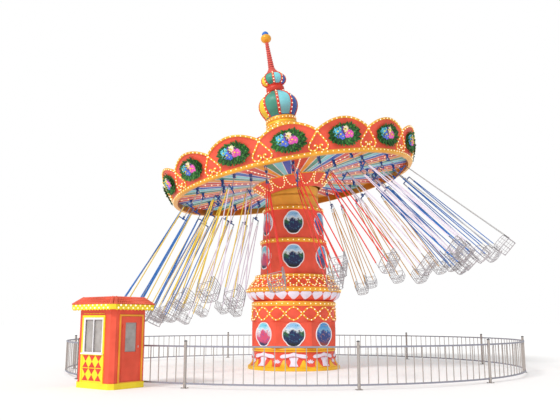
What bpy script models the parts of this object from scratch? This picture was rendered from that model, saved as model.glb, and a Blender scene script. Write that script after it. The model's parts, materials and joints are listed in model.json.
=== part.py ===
# A chair swing ride: a fixed tower, a tilting and turning canopy with 36 chairs, a fence and a booth.
# Metres, +Z up. The origin is the centre of the tower's base, on the ground.

import bpy
import bmesh
from math import cos, pi, radians, sin, tan
from mathutils import Matrix, Vector

GAP = 0.0003
SIDES = 32

# Tower levels: (height, radius, section). An octagon's radius is to the middle of its faces.
FLARE = [
    (0.000, 1.740, "round"), (0.130, 1.740, "round"), (0.135, 1.690, "round"), (0.220, 1.610, "round"),
    (0.400, 1.545, "round"), (0.640, 1.520, "round"), (0.665, 1.580, "round"), (0.780, 1.580, "round"),
    (0.805, 1.540, "round"),
]
BASE_DRUM = [(0.805, 1.545, "octagon"), (1.720, 1.545, "octagon")]
LATTICE_RING = [
    (1.720, 1.600, "round"), (2.290, 1.575, "round"), (2.305, 1.610, "round"), (2.460, 1.600, "round"),
    (2.500, 1.540, "round"),
]
CROWN_BOWL = [
    (2.500, 1.500, "round"), (2.550, 1.600, "round"), (2.670, 1.710, "round"), (2.805, 1.760, "round"),
    (2.820, 1.820, "round"), (2.965, 1.810, "round"), (2.980, 1.760, "round"), (3.360, 1.450, "round"),
    (3.370, 1.480, "round"), (3.470, 1.460, "round"),
]
LOWER_DRUM = [(3.470, 1.280, "round"), (4.665, 1.240, "round")]
UPPER_DRUM = [
    (4.665, 1.290, "round"), (4.820, 1.280, "round"), (4.825, 1.200, "round"), (5.915, 1.145, "round"),
    (5.920, 1.190, "round"), (6.060, 1.170, "round"),
]
NECK_RADIUS = 0.977
NECK_TOP = 6.560
LUG_SIZE = (0.20, 0.07, 0.52)
LUG_OFFSET = 0.850
PIN_RADIUS = 0.050

# Rotor: everything on it is measured from the pivot, along and across its own axis.
PIVOT_HEIGHT = 6.943
TILT = radians(9.9)
HUB_RADIUS = 1.540
HUB_INNER = 1.380
HUB_SHOULDER = 0.200
HUB_FOOT = (1.095, 1.045, -0.200)
CEILING_BOTTOM = 0.240
CEILING_THICKNESS = 0.050
PLATE_RADIUS = 1.400
HEAD_RADIUS = 0.780
HEAD_BOTTOM = -0.160
RIM_RADIUS = 4.687
RIM_THICKNESS = 0.120
RIM_BAND = [(0.048, 0.045), (0.048, 0.095), (0.040, 0.130)]
PANEL_THICKNESS = 0.060
PANEL_LEAN = 0.315
PANEL_COUNT = 16
PANEL_TURN = radians(-0.5)
PANEL_VALLEY = 0.807
PANEL_PEAK = 1.139
STEPS_PER_PANEL = 6
ROOF_EDGE = (4.480, 0.600)
ROOF_TOP = (0.690, 2.330)
ROOF_OPENING = 0.500
ROOF_THICKNESS = 0.050
DOME = [
    (0.00, 2.330), (0.590, 2.330), (0.590, 2.400), (0.650, 2.420), (0.650, 2.640), (0.600, 2.680),
    (0.610, 2.885), (0.565, 2.915), (0.625, 3.020), (0.725, 3.210), (0.765, 3.420), (0.730, 3.620),
    (0.610, 3.790), (0.440, 3.930), (0.325, 4.030), (0.360, 4.090), (0.370, 4.200), (0.330, 4.330),
    (0.00, 4.330),
]
SPIRE = [
    (0.00, 4.330), (0.310, 4.330), (0.410, 4.390), (0.480, 4.530), (0.465, 4.660), (0.380, 4.750),
    (0.270, 4.810), (0.200, 4.890), (0.135, 5.030), (0.110, 5.150), (0.085, 5.650), (0.065, 6.220), (0.165, 6.290),
    (0.215, 6.410), (0.160, 6.530), (0.110, 6.550), (0.125, 6.610), (0.080, 6.700), (0.00, 6.730),
]

# Hangers: (name, radius of the pins, first azimuth, flung angle from the rotor axis, drop from pin to chair).
ROWS = [
    ("outer", 4.070, 0.0, radians(40.1), 5.090),
    ("middle", 3.590, 15.0, radians(36.3), 4.880),
    ("inner", 3.010, 0.0, radians(36.1), 5.150),
]
CHAIRS_PER_ROW = 12
PIN_LEVEL = 0.040
TRAIL = radians(10.1)
BRACKET = (0.070, 0.020)
HANGER_PIN = 0.016
HANGER_PIN_LENGTH = 0.060
EYE_RADIUS = 0.040
EYE_WIDTH = 0.030
ROD_RADIUS = 0.016
ROD_LENGTH = 0.650
SPREADER = (0.400, 0.036, 0.040)
CHAIN_WIDTH = 0.018
SEAT_WIDTH = 0.580
SEAT_DEPTH = 0.480
SEAT_PLATE = 0.022
SEAT_DROP = 0.240
ARM_RISE = 0.060
BACK_RISE = 0.300

# Fence: eleven bays on a circle, by the azimuths of their posts.
FENCE_RADIUS = 8.220
POST_AZIMUTHS = (-20.4, 11.7, 43.0, 76.5, 108.0, 139.5, 171.4, 203.3, 237.5, 273.0, 306.5)
STEPS_PER_BAY = 3
POST_RADIUS = 0.036
POST_HEIGHT = 1.240
RAIL_HEIGHTS = (0.123, 1.080)
RAIL_SIZE = (0.040, 0.034)
PICKET_WIDTH = 0.020
PICKETS = 16

# Booth: outer size of the walls, placed just outside the fence.
BOOTH_CENTRE = (-4.925, -7.370)
BOOTH_TURN = radians(-35.0)
BOOTH_SIZE = (1.450, 1.180)
WALL = 0.060
PLINTH_HEIGHT = 0.150
PLINTH_STEP = 0.025
WALL_TOP = 2.050
CORNER_CUT = 0.100
EAVE_TOP = 2.180
ROOF_PEAK = 2.360
EAVE_OVERHANG = 0.150
ROOF_INSET = 0.060
WINDOW = (-0.490, 0.330, 0.920, 1.790)
DOOR = (-0.270, 0.330, 0.170, 1.860)
DOOR_CLEAR = 0.006
DOOR_THICKNESS = 0.040
DOOR_GLASS = (-0.170, 0.210, 0.940, 1.700)
GLASS = 0.006
BOOTH_HINGE_RADIUS = 0.012
HINGE_LEVELS = (0.400, 1.550)
KNUCKLE = 0.050


def clear_scene():
    for old in list(bpy.data.objects):
        bpy.data.objects.remove(old)


def make_material(name, colour, roughness, metallic=0.0):
    material = bpy.data.materials.new(name)
    material.use_nodes = True
    shader = material.node_tree.nodes["Principled BSDF"]
    shader.inputs["Base Color"].default_value = (*colour, 1.0)
    shader.inputs["Roughness"].default_value = roughness
    shader.inputs["Metallic"].default_value = metallic
    return material


def mesh_from(name, points, faces):
    mesh = bpy.data.meshes.new(name)
    mesh.from_pydata([tuple(p) for p in points], [], faces)
    mesh.update()
    return mesh


def outward(mesh):
    """Turns every face of a closed mesh outwards."""
    work = bmesh.new()
    work.from_mesh(mesh)
    bmesh.ops.recalc_face_normals(work, faces=work.faces)
    if work.calc_volume(signed=True) < 0:
        bmesh.ops.reverse_faces(work, faces=work.faces)
    work.to_mesh(mesh)
    work.free()
    return mesh


def add_object(name, mesh, material, matrix=None, parent=None, smooth=False):
    piece = bpy.data.objects.new(name, mesh)
    bpy.context.scene.collection.objects.link(piece)
    if not mesh.materials:
        mesh.materials.append(material)
    if smooth:
        mesh.shade_smooth()
        mesh.set_sharp_from_angle(angle=radians(35))
    piece.parent = parent
    if matrix is not None:
        piece.matrix_local = matrix
    return piece


def section_radius(radius, section, angle):
    if section == "round":
        return radius
    face = pi / 4
    return radius / cos((angle + face / 2) % face - face / 2)


def lofted_mesh(name, levels, sides=SIDES):
    """A closed solid through horizontal sections. Azimuth 0 faces -Y."""
    points = []
    for height, radius, section in levels:
        for i in range(sides):
            angle = 2 * pi * i / sides
            reach = section_radius(radius, section, angle)
            points.append((reach * sin(angle), -reach * cos(angle), height))
    faces = [tuple(range(sides)), tuple(range(len(points) - sides, len(points)))]
    for row in range(len(levels) - 1):
        for i in range(sides):
            a, b = row * sides + i, row * sides + (i + 1) % sides
            faces.append((a, b, b + sides, a + sides))
    return outward(mesh_from(name, points, faces))


def turned_mesh(name, profile, sides=SIDES):
    """A closed profile of (radius, height) turned about Z. A radius of 0 is a point on the axis."""
    points, rings = [], []
    for radius, height in profile:
        if radius == 0:
            rings.append([len(points)] * sides)
            points.append((0.0, 0.0, height))
            continue
        rings.append([len(points) + i for i in range(sides)])
        for i in range(sides):
            angle = 2 * pi * i / sides
            points.append((radius * sin(angle), -radius * cos(angle), height))
    faces = []
    for here, there in zip(rings, rings[1:] + rings[:1]):
        for i in range(sides):
            j = (i + 1) % sides
            corners = [here[i], here[j], there[j], there[i]]
            face = [c for k, c in enumerate(corners) if c != corners[k - 1]]
            if len(face) > 2:
                faces.append(tuple(face))
    return outward(mesh_from(name, points, faces))


def prism_mesh(name, outline, low, high):
    """An outline in X and Y raised from low to high."""
    count = len(outline)
    points = [(x, y, low) for x, y in outline] + [(x, y, high) for x, y in outline]
    faces = [tuple(range(count)), tuple(range(count, 2 * count))]
    faces += [(i, (i + 1) % count, (i + 1) % count + count, i + count) for i in range(count)]
    return outward(mesh_from(name, points, faces))


def box_mesh(name, low, high):
    outline = [(low[0], low[1]), (high[0], low[1]), (high[0], high[1]), (low[0], high[1])]
    return prism_mesh(name, outline, low[2], high[2])


def bar_mesh(name, start, end, radius, sides=6, turn=0.0):
    """A straight bar of few sides from one point to another."""
    start, end = Vector(start), Vector(end)
    along = (end - start).normalized()
    across = along.cross(Vector((0, 1, 0)) if abs(along.y) < 0.9 else Vector((1, 0, 0))).normalized()
    other = along.cross(across)
    points = []
    for centre in (start, end):
        for i in range(sides):
            angle = turn + 2 * pi * i / sides
            points.append(centre + radius * (cos(angle) * across + sin(angle) * other))
    faces = [tuple(range(sides)), tuple(range(sides, 2 * sides))]
    faces += [(i, (i + 1) % sides, (i + 1) % sides + sides, i + sides) for i in range(sides)]
    return outward(mesh_from(name, points, faces))


def combined(name, base, unions=(), cuts=()):
    """One closed mesh: the base joined with some shapes, then cut by others."""
    helpers = []
    body = bpy.data.objects.new("work_" + name, base)
    bpy.context.scene.collection.objects.link(body)
    for operation, shapes in (("UNION", unions), ("DIFFERENCE", cuts)):
        if not shapes:
            continue
        group = bpy.data.collections.new(operation + "_" + name)
        bpy.context.scene.collection.children.link(group)
        for shape in shapes:
            helper = bpy.data.objects.new("helper_" + name, shape)
            group.objects.link(helper)
            helpers.append(helper)
        modifier = body.modifiers.new(operation, "BOOLEAN")
        modifier.operation = operation
        modifier.solver = "EXACT"
        modifier.operand_type = "COLLECTION"
        modifier.collection = group
    bpy.context.view_layer.update()
    graph = bpy.context.evaluated_depsgraph_get()
    mesh = bpy.data.meshes.new_from_object(body.evaluated_get(graph))
    mesh.name = name
    for old in [body] + helpers:
        bpy.data.objects.remove(old)
    for group in list(bpy.data.collections):
        if group.name.startswith(("UNION_", "DIFFERENCE_")):
            bpy.data.collections.remove(group)
    return mesh


def moved(mesh, matrix):
    copy = mesh.copy()
    copy.transform(matrix)
    return copy


def azimuth(degrees):
    """Unit directions away from the axis and round it: 0 faces -Y and 90 faces +X."""
    angle = radians(degrees)
    return Vector((sin(angle), -cos(angle), 0)), Vector((cos(angle), sin(angle), 0))


def add_tower(mats):
    for name, levels, material in (
        ("base_flare", FLARE, "coral"), ("base_drum", BASE_DRUM, "coral"), ("lattice_ring", LATTICE_RING, "coral"),
        ("crown_bowl", CROWN_BOWL, "cream"), ("lower_drum", LOWER_DRUM, "coral"), ("upper_drum", UPPER_DRUM, "coral"),
    ):
        first = name == "base_flare"
        bottom = levels[0][0] + (0 if first else GAP)
        shifted = [(bottom, *levels[0][1:])] + levels[1:]
        add_object(name, lofted_mesh(name, shifted), mats[material], smooth=True)


def add_neck(mats):
    """The plain column under the hub, with two lugs whose pins carry the tilting head."""
    base = turned_mesh("neck", [(0, UPPER_DRUM[-1][0] + GAP), (NECK_RADIUS, UPPER_DRUM[-1][0] + GAP),
                                (NECK_RADIUS, NECK_TOP), (0, NECK_TOP)])
    shapes = []
    width, thickness, height = LUG_SIZE
    for side in (-1, 1):
        middle = side * LUG_OFFSET
        shapes.append(box_mesh("lug", (-width / 2, middle - thickness / 2, NECK_TOP - 0.05),
                               (width / 2, middle + thickness / 2, NECK_TOP - 0.05 + height)))
        shapes.append(bar_mesh("pin", (0, middle, PIVOT_HEIGHT), (0, side * (HEAD_RADIUS - 0.20), PIVOT_HEIGHT),
                               PIN_RADIUS, 12))
    add_object("neck_column", combined("neck_column", base, shapes), mats["gold"], smooth=True)


def add_head(mats, frame):
    """The head that tilts on the column and carries the turning frame."""
    top = CEILING_BOTTOM - GAP
    base = turned_mesh("head", [(0, HEAD_BOTTOM), (HEAD_RADIUS, HEAD_BOTTOM), (HEAD_RADIUS, top), (0, top)])
    bore = (PIN_RADIUS + GAP) / cos(pi / 12)
    holes = []
    for side in (-1, 1):
        holes.append(bar_mesh("bore", (0, side * (HEAD_RADIUS + 0.05), 0), (0, side * (HEAD_RADIUS - 0.20 - 0.005), 0),
                              bore, 12))
    add_object("tilt_head", combined("tilt_head", base, (), holes), mats["steel"], parent=frame, smooth=True)


def panel_height(share):
    """Height of the scalloped top edge: a peak in the middle of each panel and a valley between two."""
    share = (share + 0.5) % 1.0 - 0.5
    return PANEL_VALLEY + (PANEL_PEAK - PANEL_VALLEY) * max(cos(pi * share), 0.0) ** 0.83


def canopy_mesh():
    """A ring of scalloped panels that lean outwards above a rounded rim."""
    count = PANEL_COUNT * STEPS_PER_PANEL
    points, faces = [], []
    for i in range(count):
        angle = 2 * pi * i / count + PANEL_TURN
        top = panel_height(i / STEPS_PER_PANEL)
        reach = RIM_RADIUS + PANEL_LEAN * top
        outline = [(RIM_RADIUS, 0.0)] + [(RIM_RADIUS + out, z) for out, z in RIM_BAND]
        outline += [(reach, top), (reach - PANEL_THICKNESS, top), (RIM_RADIUS - RIM_THICKNESS, 0.36),
                    (RIM_RADIUS - RIM_THICKNESS, 0.0)]
        points += [(r * sin(angle), -r * cos(angle), z) for r, z in outline]
    rows = len(outline)
    for i in range(count):
        here, there = i * rows, (i + 1) % count * rows
        faces += [(here + k, there + k, there + (k + 1) % rows, here + (k + 1) % rows) for k in range(rows)]
    return outward(mesh_from("canopy_ring", points, faces))


def ceiling_mesh():
    """The flat ceiling round the hub, with a bracket and a pin under it for each hanger."""
    edge, top = RIM_RADIUS - RIM_THICKNESS - GAP, CEILING_BOTTOM + CEILING_THICKNESS
    disc = turned_mesh("disc", [(PLATE_RADIUS, CEILING_BOTTOM), (edge, CEILING_BOTTOM), (edge, top),
                                (PLATE_RADIUS, top)], PANEL_COUNT * STEPS_PER_PANEL)
    disc.transform(Matrix.Rotation(PANEL_TURN, 4, "Z"))
    shapes = []
    for _, radius, start, _, _ in ROWS:
        for i in range(CHAIRS_PER_ROW):
            place = start + 360 / CHAIRS_PER_ROW * i
            out, _ = azimuth(place)
            turn = Matrix.Translation(out * radius) @ Matrix.Rotation(radians(place) + TRAIL, 4, "Z")
            width, thickness = BRACKET
            offset = EYE_WIDTH / 2 + 0.006
            shapes.append(moved(box_mesh("cheek", (offset, -width / 2, PIN_LEVEL - 0.035),
                                         (offset + thickness, width / 2, CEILING_BOTTOM + 0.01)), turn))
            shapes.append(moved(bar_mesh("pin", (offset + thickness / 2, 0, PIN_LEVEL),
                                         (offset - HANGER_PIN_LENGTH, 0, PIN_LEVEL), HANGER_PIN, 8), turn))
    return combined("ceiling_frame", disc, shapes)


def add_rotor(mats, frame):
    top = CEILING_BOTTOM - GAP
    foot, hole, low = HUB_FOOT
    hub = [(hole, low), (foot, low), (HUB_RADIUS, HUB_SHOULDER), (HUB_RADIUS, top), (HUB_INNER, top),
           (HUB_INNER, HUB_SHOULDER)]
    add_object("hub_drum", turned_mesh("hub_drum", hub), mats["coral"], parent=frame, smooth=True)
    inner, low, high = PLATE_RADIUS - 0.004, CEILING_BOTTOM, CEILING_BOTTOM + CEILING_THICKNESS
    plate = [(0, low), (inner, low), (inner, high), (0, high)]
    add_object("hub_plate", turned_mesh("hub_plate", plate), mats["orange"], parent=frame, smooth=True)
    add_object("ceiling_frame", ceiling_mesh(), mats["orange"], parent=frame, smooth=True)
    add_object("canopy_ring", canopy_mesh(), mats["coral"], parent=frame, smooth=True)
    floor = CEILING_BOTTOM + CEILING_THICKNESS + GAP
    edge, level = ROOF_EDGE
    inner, peak = ROOF_TOP
    thick = ROOF_THICKNESS
    roof = [(edge - thick, floor), (edge, floor), (edge, level), (inner, peak), (ROOF_OPENING, peak),
            (ROOF_OPENING, peak - thick), (inner - thick, peak - thick * 1.1), (edge - thick, level - thick * 0.6)]
    add_object("roof_cone", turned_mesh("roof_cone", roof, 48), mats["coral"], parent=frame, smooth=True)
    dome = [(r, z + GAP if z == DOME[0][1] else z) for r, z in DOME]
    add_object("onion_dome", turned_mesh("onion_dome", dome, 20), mats["gold"], parent=frame, smooth=True)
    spire = [(r, z + GAP if z == SPIRE[0][1] else z) for r, z in SPIRE]
    add_object("spire", turned_mesh("spire", spire, 12), mats["gold"], parent=frame, smooth=True)


def chair_mesh(name, drop):
    """A hanger rod with its eye and spreader bar, four chains and an open seat.

    The origin is the eye's centre, +X is the rider's side away from the axis and the rider faces -Y."""
    bore = (HANGER_PIN + GAP) / cos(pi / 6)
    eye = bar_mesh("eye", (0, -EYE_WIDTH / 2, 0), (0, EYE_WIDTH / 2, 0), EYE_RADIUS, 6)
    hole = bar_mesh("hole", (0, -EYE_WIDTH, 0), (0, EYE_WIDTH, 0), bore, 6)
    bar = -ROD_LENGTH
    seat, arm, back = -drop - SEAT_DROP, -drop + ARM_RISE, -drop + BACK_RISE
    side, front, rear = SEAT_WIDTH / 2, -SEAT_DEPTH / 2, SEAT_DEPTH / 2
    plate = SEAT_PLATE
    shapes = [bar_mesh("rod", (0, 0, -EYE_RADIUS * 0.8), (0, 0, bar), ROD_RADIUS, 4)]
    length, depth, height = SPREADER
    shapes.append(box_mesh("spreader", (-length / 2, -depth / 2, bar - height / 2), (length / 2, depth / 2, bar + height / 2)))
    for x in (-1, 1):
        for y in (front + plate, rear - plate):
            shapes.append(bar_mesh("chain", (x * (length / 2 - 0.015), 0, bar), (x * (side - plate / 2), y, arm - 0.01),
                                   CHAIN_WIDTH / 2, 4, pi / 4))
        shapes.append(box_mesh("side", (x * side - plate / 2, front, seat), (x * side + plate / 2, rear, arm)))
    shapes.append(box_mesh("seat", (-side, front, seat), (side, rear, seat + plate)))
    shapes.append(box_mesh("back", (-side, rear - plate, seat), (side, rear, back)))
    shapes.append(box_mesh("bar", (-side, front, arm - 0.03), (side, front + plate, arm)))
    return combined(name, eye, shapes, [hole])


def add_chairs(mats, frame):
    """Each chair hangs on its own pin, flung out and trailing a little behind its bracket."""
    for name, radius, start, fling, drop in ROWS:
        mesh = chair_mesh("chair_" + name, drop)
        mesh.materials.append(mats["steel"])
        for i in range(CHAIRS_PER_ROW):
            place = start + 360 / CHAIRS_PER_ROW * i
            out, _ = azimuth(place)
            lean, side = azimuth(place + TRAIL * 180 / pi)
            up = Vector((0, 0, 1))
            axis_x = lean * cos(fling) + up * sin(fling)
            axis_z = up * cos(fling) - lean * sin(fling)
            matrix = Matrix((axis_x, side, axis_z)).transposed().to_4x4()
            matrix.translation = out * radius + up * PIN_LEVEL
            add_object(f"chair_{name}_{i + 1:02d}", mesh, mats["steel"], matrix, frame)


def post_azimuth(index):
    turns, index = divmod(index, len(POST_AZIMUTHS))
    return POST_AZIMUTHS[index] + 360 * turns


def fence_post(index, radius, low, high):
    place = azimuth(post_azimuth(index))[0] * FENCE_RADIUS
    return bar_mesh("post", (place.x, place.y, low), (place.x, place.y, high), radius, 8)


def chord_radius(start, end, share):
    """How far from the axis a bay's rails are, part of the way along the bay: they are straight between their bends."""
    step = radians(end - start) / STEPS_PER_BAY
    return FENCE_RADIUS * cos(step / 2) / cos((share * STEPS_PER_BAY % 1.0 - 0.5) * step)


def rail_mesh(start, end, level):
    """A rail bent round the circle from one azimuth to another."""
    height, thickness = RAIL_SIZE
    points, faces = [], []
    for i in range(STEPS_PER_BAY + 1):
        out, _ = azimuth(start + (end - start) * i / STEPS_PER_BAY)
        for side, rise in ((-1, -1), (1, -1), (1, 1), (-1, 1)):
            place = out * (FENCE_RADIUS + side * thickness / 2)
            points.append((place.x, place.y, level + rise * height / 2))
    for i in range(STEPS_PER_BAY):
        faces += [(4 * i + k, 4 * i + (k + 1) % 4, 4 * i + 4 + (k + 1) % 4, 4 * i + 4 + k) for k in range(4)]
    faces += [(0, 1, 2, 3), tuple(range(4 * STEPS_PER_BAY, 4 * STEPS_PER_BAY + 4))]
    return outward(mesh_from("rail", points, faces))


def fence_mesh(name, first, bays):
    """Posts, rails and pickets of some bays in a row. The last rails stop against the next piece's post."""
    posts, bars = [], []
    half = PICKET_WIDTH / 2
    for index in range(first, first + bays):
        start, end = post_azimuth(index), post_azimuth(index + 1)
        posts.append(fence_post(index, POST_RADIUS, 0, POST_HEIGHT))
        for level in RAIL_HEIGHTS:
            bars.append(rail_mesh(start, end, level))
        for i in range(1, PICKETS):
            place = start + (end - start) * i / PICKETS
            reach = chord_radius(start, end, i / PICKETS)
            picket = box_mesh("picket", (-half, -reach - half, RAIL_HEIGHTS[0]), (half, -reach + half, RAIL_HEIGHTS[1]))
            bars.append(moved(picket, Matrix.Rotation(radians(place), 4, "Z")))
    clearance = fence_post(first + bays, POST_RADIUS + GAP, -0.1, POST_HEIGHT + 0.1)
    return combined(name, posts[0], posts[1:] + bars, [clearance])


def add_fence(mats):
    for name, first, bays in (("fence_front", -1, 4), ("fence_right", 3, 4), ("fence_left", 7, 3)):
        add_object(name, fence_mesh(name, first, bays), mats["galvanised"])


def booth_outline(grow):
    """The booth's plan with its corners cut, grown outwards all round."""
    x, y = BOOTH_SIZE[0] / 2 + grow, BOOTH_SIZE[1] / 2 + grow
    cut = max(CORNER_CUT + grow * (2 - 2 ** 0.5), 0.02)
    return [(-x + cut, -y), (x - cut, -y), (x, -y + cut), (x, y - cut), (x - cut, y), (-x + cut, y), (-x, y - cut),
            (-x, -y + cut)]


def add_booth(mats):
    frame = bpy.data.objects.new("booth_frame", None)
    bpy.context.scene.collection.objects.link(frame)
    frame.matrix_world = Matrix.Translation((*BOOTH_CENTRE, 0)) @ Matrix.Rotation(BOOTH_TURN, 4, "Z")
    x, y = BOOTH_SIZE[0] / 2, BOOTH_SIZE[1] / 2
    add_object("booth_plinth", prism_mesh("booth_plinth", booth_outline(PLINTH_STEP), 0, PLINTH_HEIGHT), mats["yellow"],
               parent=frame)
    low, high = PLINTH_HEIGHT + GAP, WALL_TOP
    inside = prism_mesh("inside", booth_outline(-WALL), low - 0.1, high + 0.1)
    left, right, bottom, top = WINDOW
    window = box_mesh("window", (left, -y - 0.1, bottom), (right, -y + WALL + 0.1, top))
    start, end, sill, head = DOOR
    clear = DOOR_CLEAR
    doorway = box_mesh("doorway", (x - WALL - 0.1, start - clear, low - 0.1), (x + 0.1, end + clear, head + clear))
    edge, barrel = start - clear, BOOTH_HINGE_RADIUS - GAP
    axis = (x + BOOTH_HINGE_RADIUS, start)
    knuckles = []
    for level in HINGE_LEVELS:
        upper = level + KNUCKLE
        knuckles.append(box_mesh("plate", (x - 0.01, edge - 0.05, level), (x + 0.006, edge - 0.002, upper)))
        knuckles.append(box_mesh("strap", (x + GAP, edge - 0.03, level), (x + 0.006, start, upper)))
        knuckles.append(bar_mesh("barrel", (*axis, level), (*axis, upper), barrel, 12))
    walls = combined("booth_walls", prism_mesh("walls", booth_outline(0), low, high), (), [inside, window, doorway])
    walls = combined("booth_walls", walls, knuckles)
    add_object("booth_walls", walls, mats["coral"], parent=frame)
    glass = box_mesh("booth_window", (left + GAP, -y + WALL / 2 - GLASS / 2, bottom + GAP),
                     (right - GAP, -y + WALL / 2 + GLASS / 2, top - GAP))
    add_object("booth_window", glass, mats["glass"], parent=frame)
    eave = prism_mesh("eave", booth_outline(EAVE_OVERHANG), WALL_TOP + GAP, EAVE_TOP)
    lower, upper = booth_outline(EAVE_OVERHANG), booth_outline(-ROOF_INSET)
    count = len(lower)
    points = [(px, py, EAVE_TOP - 0.01) for px, py in lower] + [(px, py, ROOF_PEAK) for px, py in upper]
    faces = [tuple(range(count)), tuple(range(count, 2 * count))]
    faces += [(i, (i + 1) % count, (i + 1) % count + count, i + count) for i in range(count)]
    slope = outward(mesh_from("slope", points, faces))
    add_object("booth_roof", combined("booth_roof", eave, [slope]), mats["coral"], parent=frame)
    hinge = bpy.data.objects.new("door_hinge", None)
    bpy.context.scene.collection.objects.link(hinge)
    hinge.parent = frame
    hinge.matrix_local = Matrix.Translation((x + BOOTH_HINGE_RADIUS, start, 0))
    off = Vector((x + BOOTH_HINGE_RADIUS, start, 0))
    leaf = box_mesh("leaf", Vector((x - DOOR_THICKNESS, start, sill)) - off, Vector((x, end, head)) - off)
    g_start, g_end, g_low, g_high = DOOR_GLASS
    hole = box_mesh("hole", Vector((x - WALL - 0.1, g_start, g_low)) - off, Vector((x + 0.1, g_end, g_high)) - off)
    knuckles = []
    for level in HINGE_LEVELS:
        low, high = level + KNUCKLE + GAP, level + 2 * KNUCKLE
        knuckles.append(box_mesh("plate", Vector((x - 0.01, start, low)) - off, Vector((x + 0.006, start + 0.05, high)) - off))
        knuckles.append(bar_mesh("barrel", (0, 0, low), (0, 0, high), barrel, 12))
    add_object("booth_door", combined("booth_door", leaf, knuckles, [hole]), mats["coral"], parent=hinge)
    middle = x - DOOR_THICKNESS / 2
    pane = box_mesh("pane", Vector((middle - GLASS / 2, g_start + GAP, g_low + GAP)) - off,
                    Vector((middle + GLASS / 2, g_end - GAP, g_high - GAP)) - off)
    add_object("door_glass", pane, mats["glass"], parent=hinge)


def main():
    clear_scene()
    mats = {
        "coral": make_material("coral", (0.80, 0.13, 0.07), 0.35),
        "gold": make_material("gold", (0.85, 0.42, 0.06), 0.35),
        "cream": make_material("cream", (0.85, 0.80, 0.78), 0.40),
        "orange": make_material("orange", (0.85, 0.35, 0.08), 0.40),
        "yellow": make_material("yellow", (0.95, 0.80, 0.08), 0.40),
        "steel": make_material("steel", (0.55, 0.55, 0.57), 0.35, 0.8),
        "galvanised": make_material("galvanised", (0.50, 0.49, 0.49), 0.45, 0.7),
        "glass": make_material("glass", (0.50, 0.48, 0.47), 0.10),
    }
    add_tower(mats)
    add_neck(mats)
    frame = bpy.data.objects.new("rotor_frame", None)
    bpy.context.scene.collection.objects.link(frame)
    frame.matrix_world = Matrix.Translation((0, 0, PIVOT_HEIGHT)) @ Matrix.Rotation(-TILT, 4, "Y")
    add_head(mats, frame)
    add_rotor(mats, frame)
    add_chairs(mats, frame)
    add_fence(mats)
    add_booth(mats)


main()
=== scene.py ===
# A chair swing ride: its looks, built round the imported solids. Metres, +Z up, the front faces -Y.
import bpy
import bmesh
import json
from math import atan2, cos, degrees, hypot, pi, radians, sin
from mathutils import Matrix, Vector

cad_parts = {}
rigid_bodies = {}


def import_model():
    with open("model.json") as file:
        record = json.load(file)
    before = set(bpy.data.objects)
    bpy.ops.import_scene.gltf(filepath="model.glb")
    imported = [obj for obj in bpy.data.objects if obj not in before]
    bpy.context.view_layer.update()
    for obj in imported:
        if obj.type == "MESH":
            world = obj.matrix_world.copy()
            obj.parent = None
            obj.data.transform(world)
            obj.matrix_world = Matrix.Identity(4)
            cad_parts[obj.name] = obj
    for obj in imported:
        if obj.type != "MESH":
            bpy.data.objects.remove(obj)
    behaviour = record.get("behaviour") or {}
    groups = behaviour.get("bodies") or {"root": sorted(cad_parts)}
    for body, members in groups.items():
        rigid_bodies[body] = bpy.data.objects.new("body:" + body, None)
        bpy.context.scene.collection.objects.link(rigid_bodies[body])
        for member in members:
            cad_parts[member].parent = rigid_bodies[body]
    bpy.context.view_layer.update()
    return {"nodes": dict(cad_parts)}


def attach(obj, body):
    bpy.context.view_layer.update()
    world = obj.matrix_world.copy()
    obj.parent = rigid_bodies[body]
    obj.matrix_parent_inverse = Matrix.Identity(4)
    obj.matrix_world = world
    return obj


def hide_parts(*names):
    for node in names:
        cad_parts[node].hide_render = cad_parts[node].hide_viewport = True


for old in list(bpy.data.objects):
    bpy.data.objects.remove(old)
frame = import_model()
nodes = frame["nodes"]
scene = bpy.context.scene
print("frame loaded:", len(nodes), "nodes")

# The rotor's own frame: everything that turns is built upright about Z and then tilted with it.
rotor = {"pivot": 6.943, "tilt": 9.9, "panelTurn": -0.5, "panels": 16}
rotorPlace = Matrix.Translation((0, 0, rotor["pivot"])) @ Matrix.Rotation(-radians(rotor["tilt"]), 4, "Y")


# Small helpers for shapes.

def azimuth(turn):  # unit directions outwards and along: 0 faces the front, 90 the right
    angle = radians(turn)
    return Vector((sin(angle), -cos(angle), 0)), Vector((cos(angle), sin(angle), 0))


class Shape:  # gathers closed parts, each with a finish number, into one mesh
    def __init__(self):
        self.points, self.faces, self.marks, self.uvs = [], [], [], {}

    def add(self, part, mark=0, place=None, uvs=None):
        points, faces = part
        first = len(self.points)
        self.points += [place @ p for p in points] if place else points
        self.faces += [tuple(first + i for i in face) for face in faces]
        self.marks += mark if isinstance(mark, list) else [mark] * len(faces)
        if uvs:
            self.uvs.update({first + i: uv for i, uv in enumerate(uvs)})
        return self

    def mesh(self, name, place=None, sharp=38):
        mesh = bpy.data.meshes.new(name)
        mesh.from_pydata(self.points, [], self.faces)
        mesh.polygons.foreach_set("material_index", self.marks)
        if self.uvs:
            layer = mesh.uv_layers.new(name="UVMap")
            for loop in mesh.loops:
                layer.data[loop.index].uv = self.uvs.get(loop.vertex_index, (0.0, 0.0))
        work = bmesh.new()
        work.from_mesh(mesh)
        bmesh.ops.recalc_face_normals(work, faces=work.faces)
        work.to_mesh(mesh)
        work.free()
        if place:
            mesh.transform(place)
        mesh.shade_smooth()
        mesh.set_sharp_from_angle(angle=radians(sharp))
        return mesh


def gridFaces(rows, columns, closedColumns=True):
    faces = []
    for i in range(rows - 1):
        for k in range(columns if closedColumns else columns - 1):
            n = (k + 1) % columns
            faces.append((i * columns + k, i * columns + n, (i + 1) * columns + n, (i + 1) * columns + k))
    return faces


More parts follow.
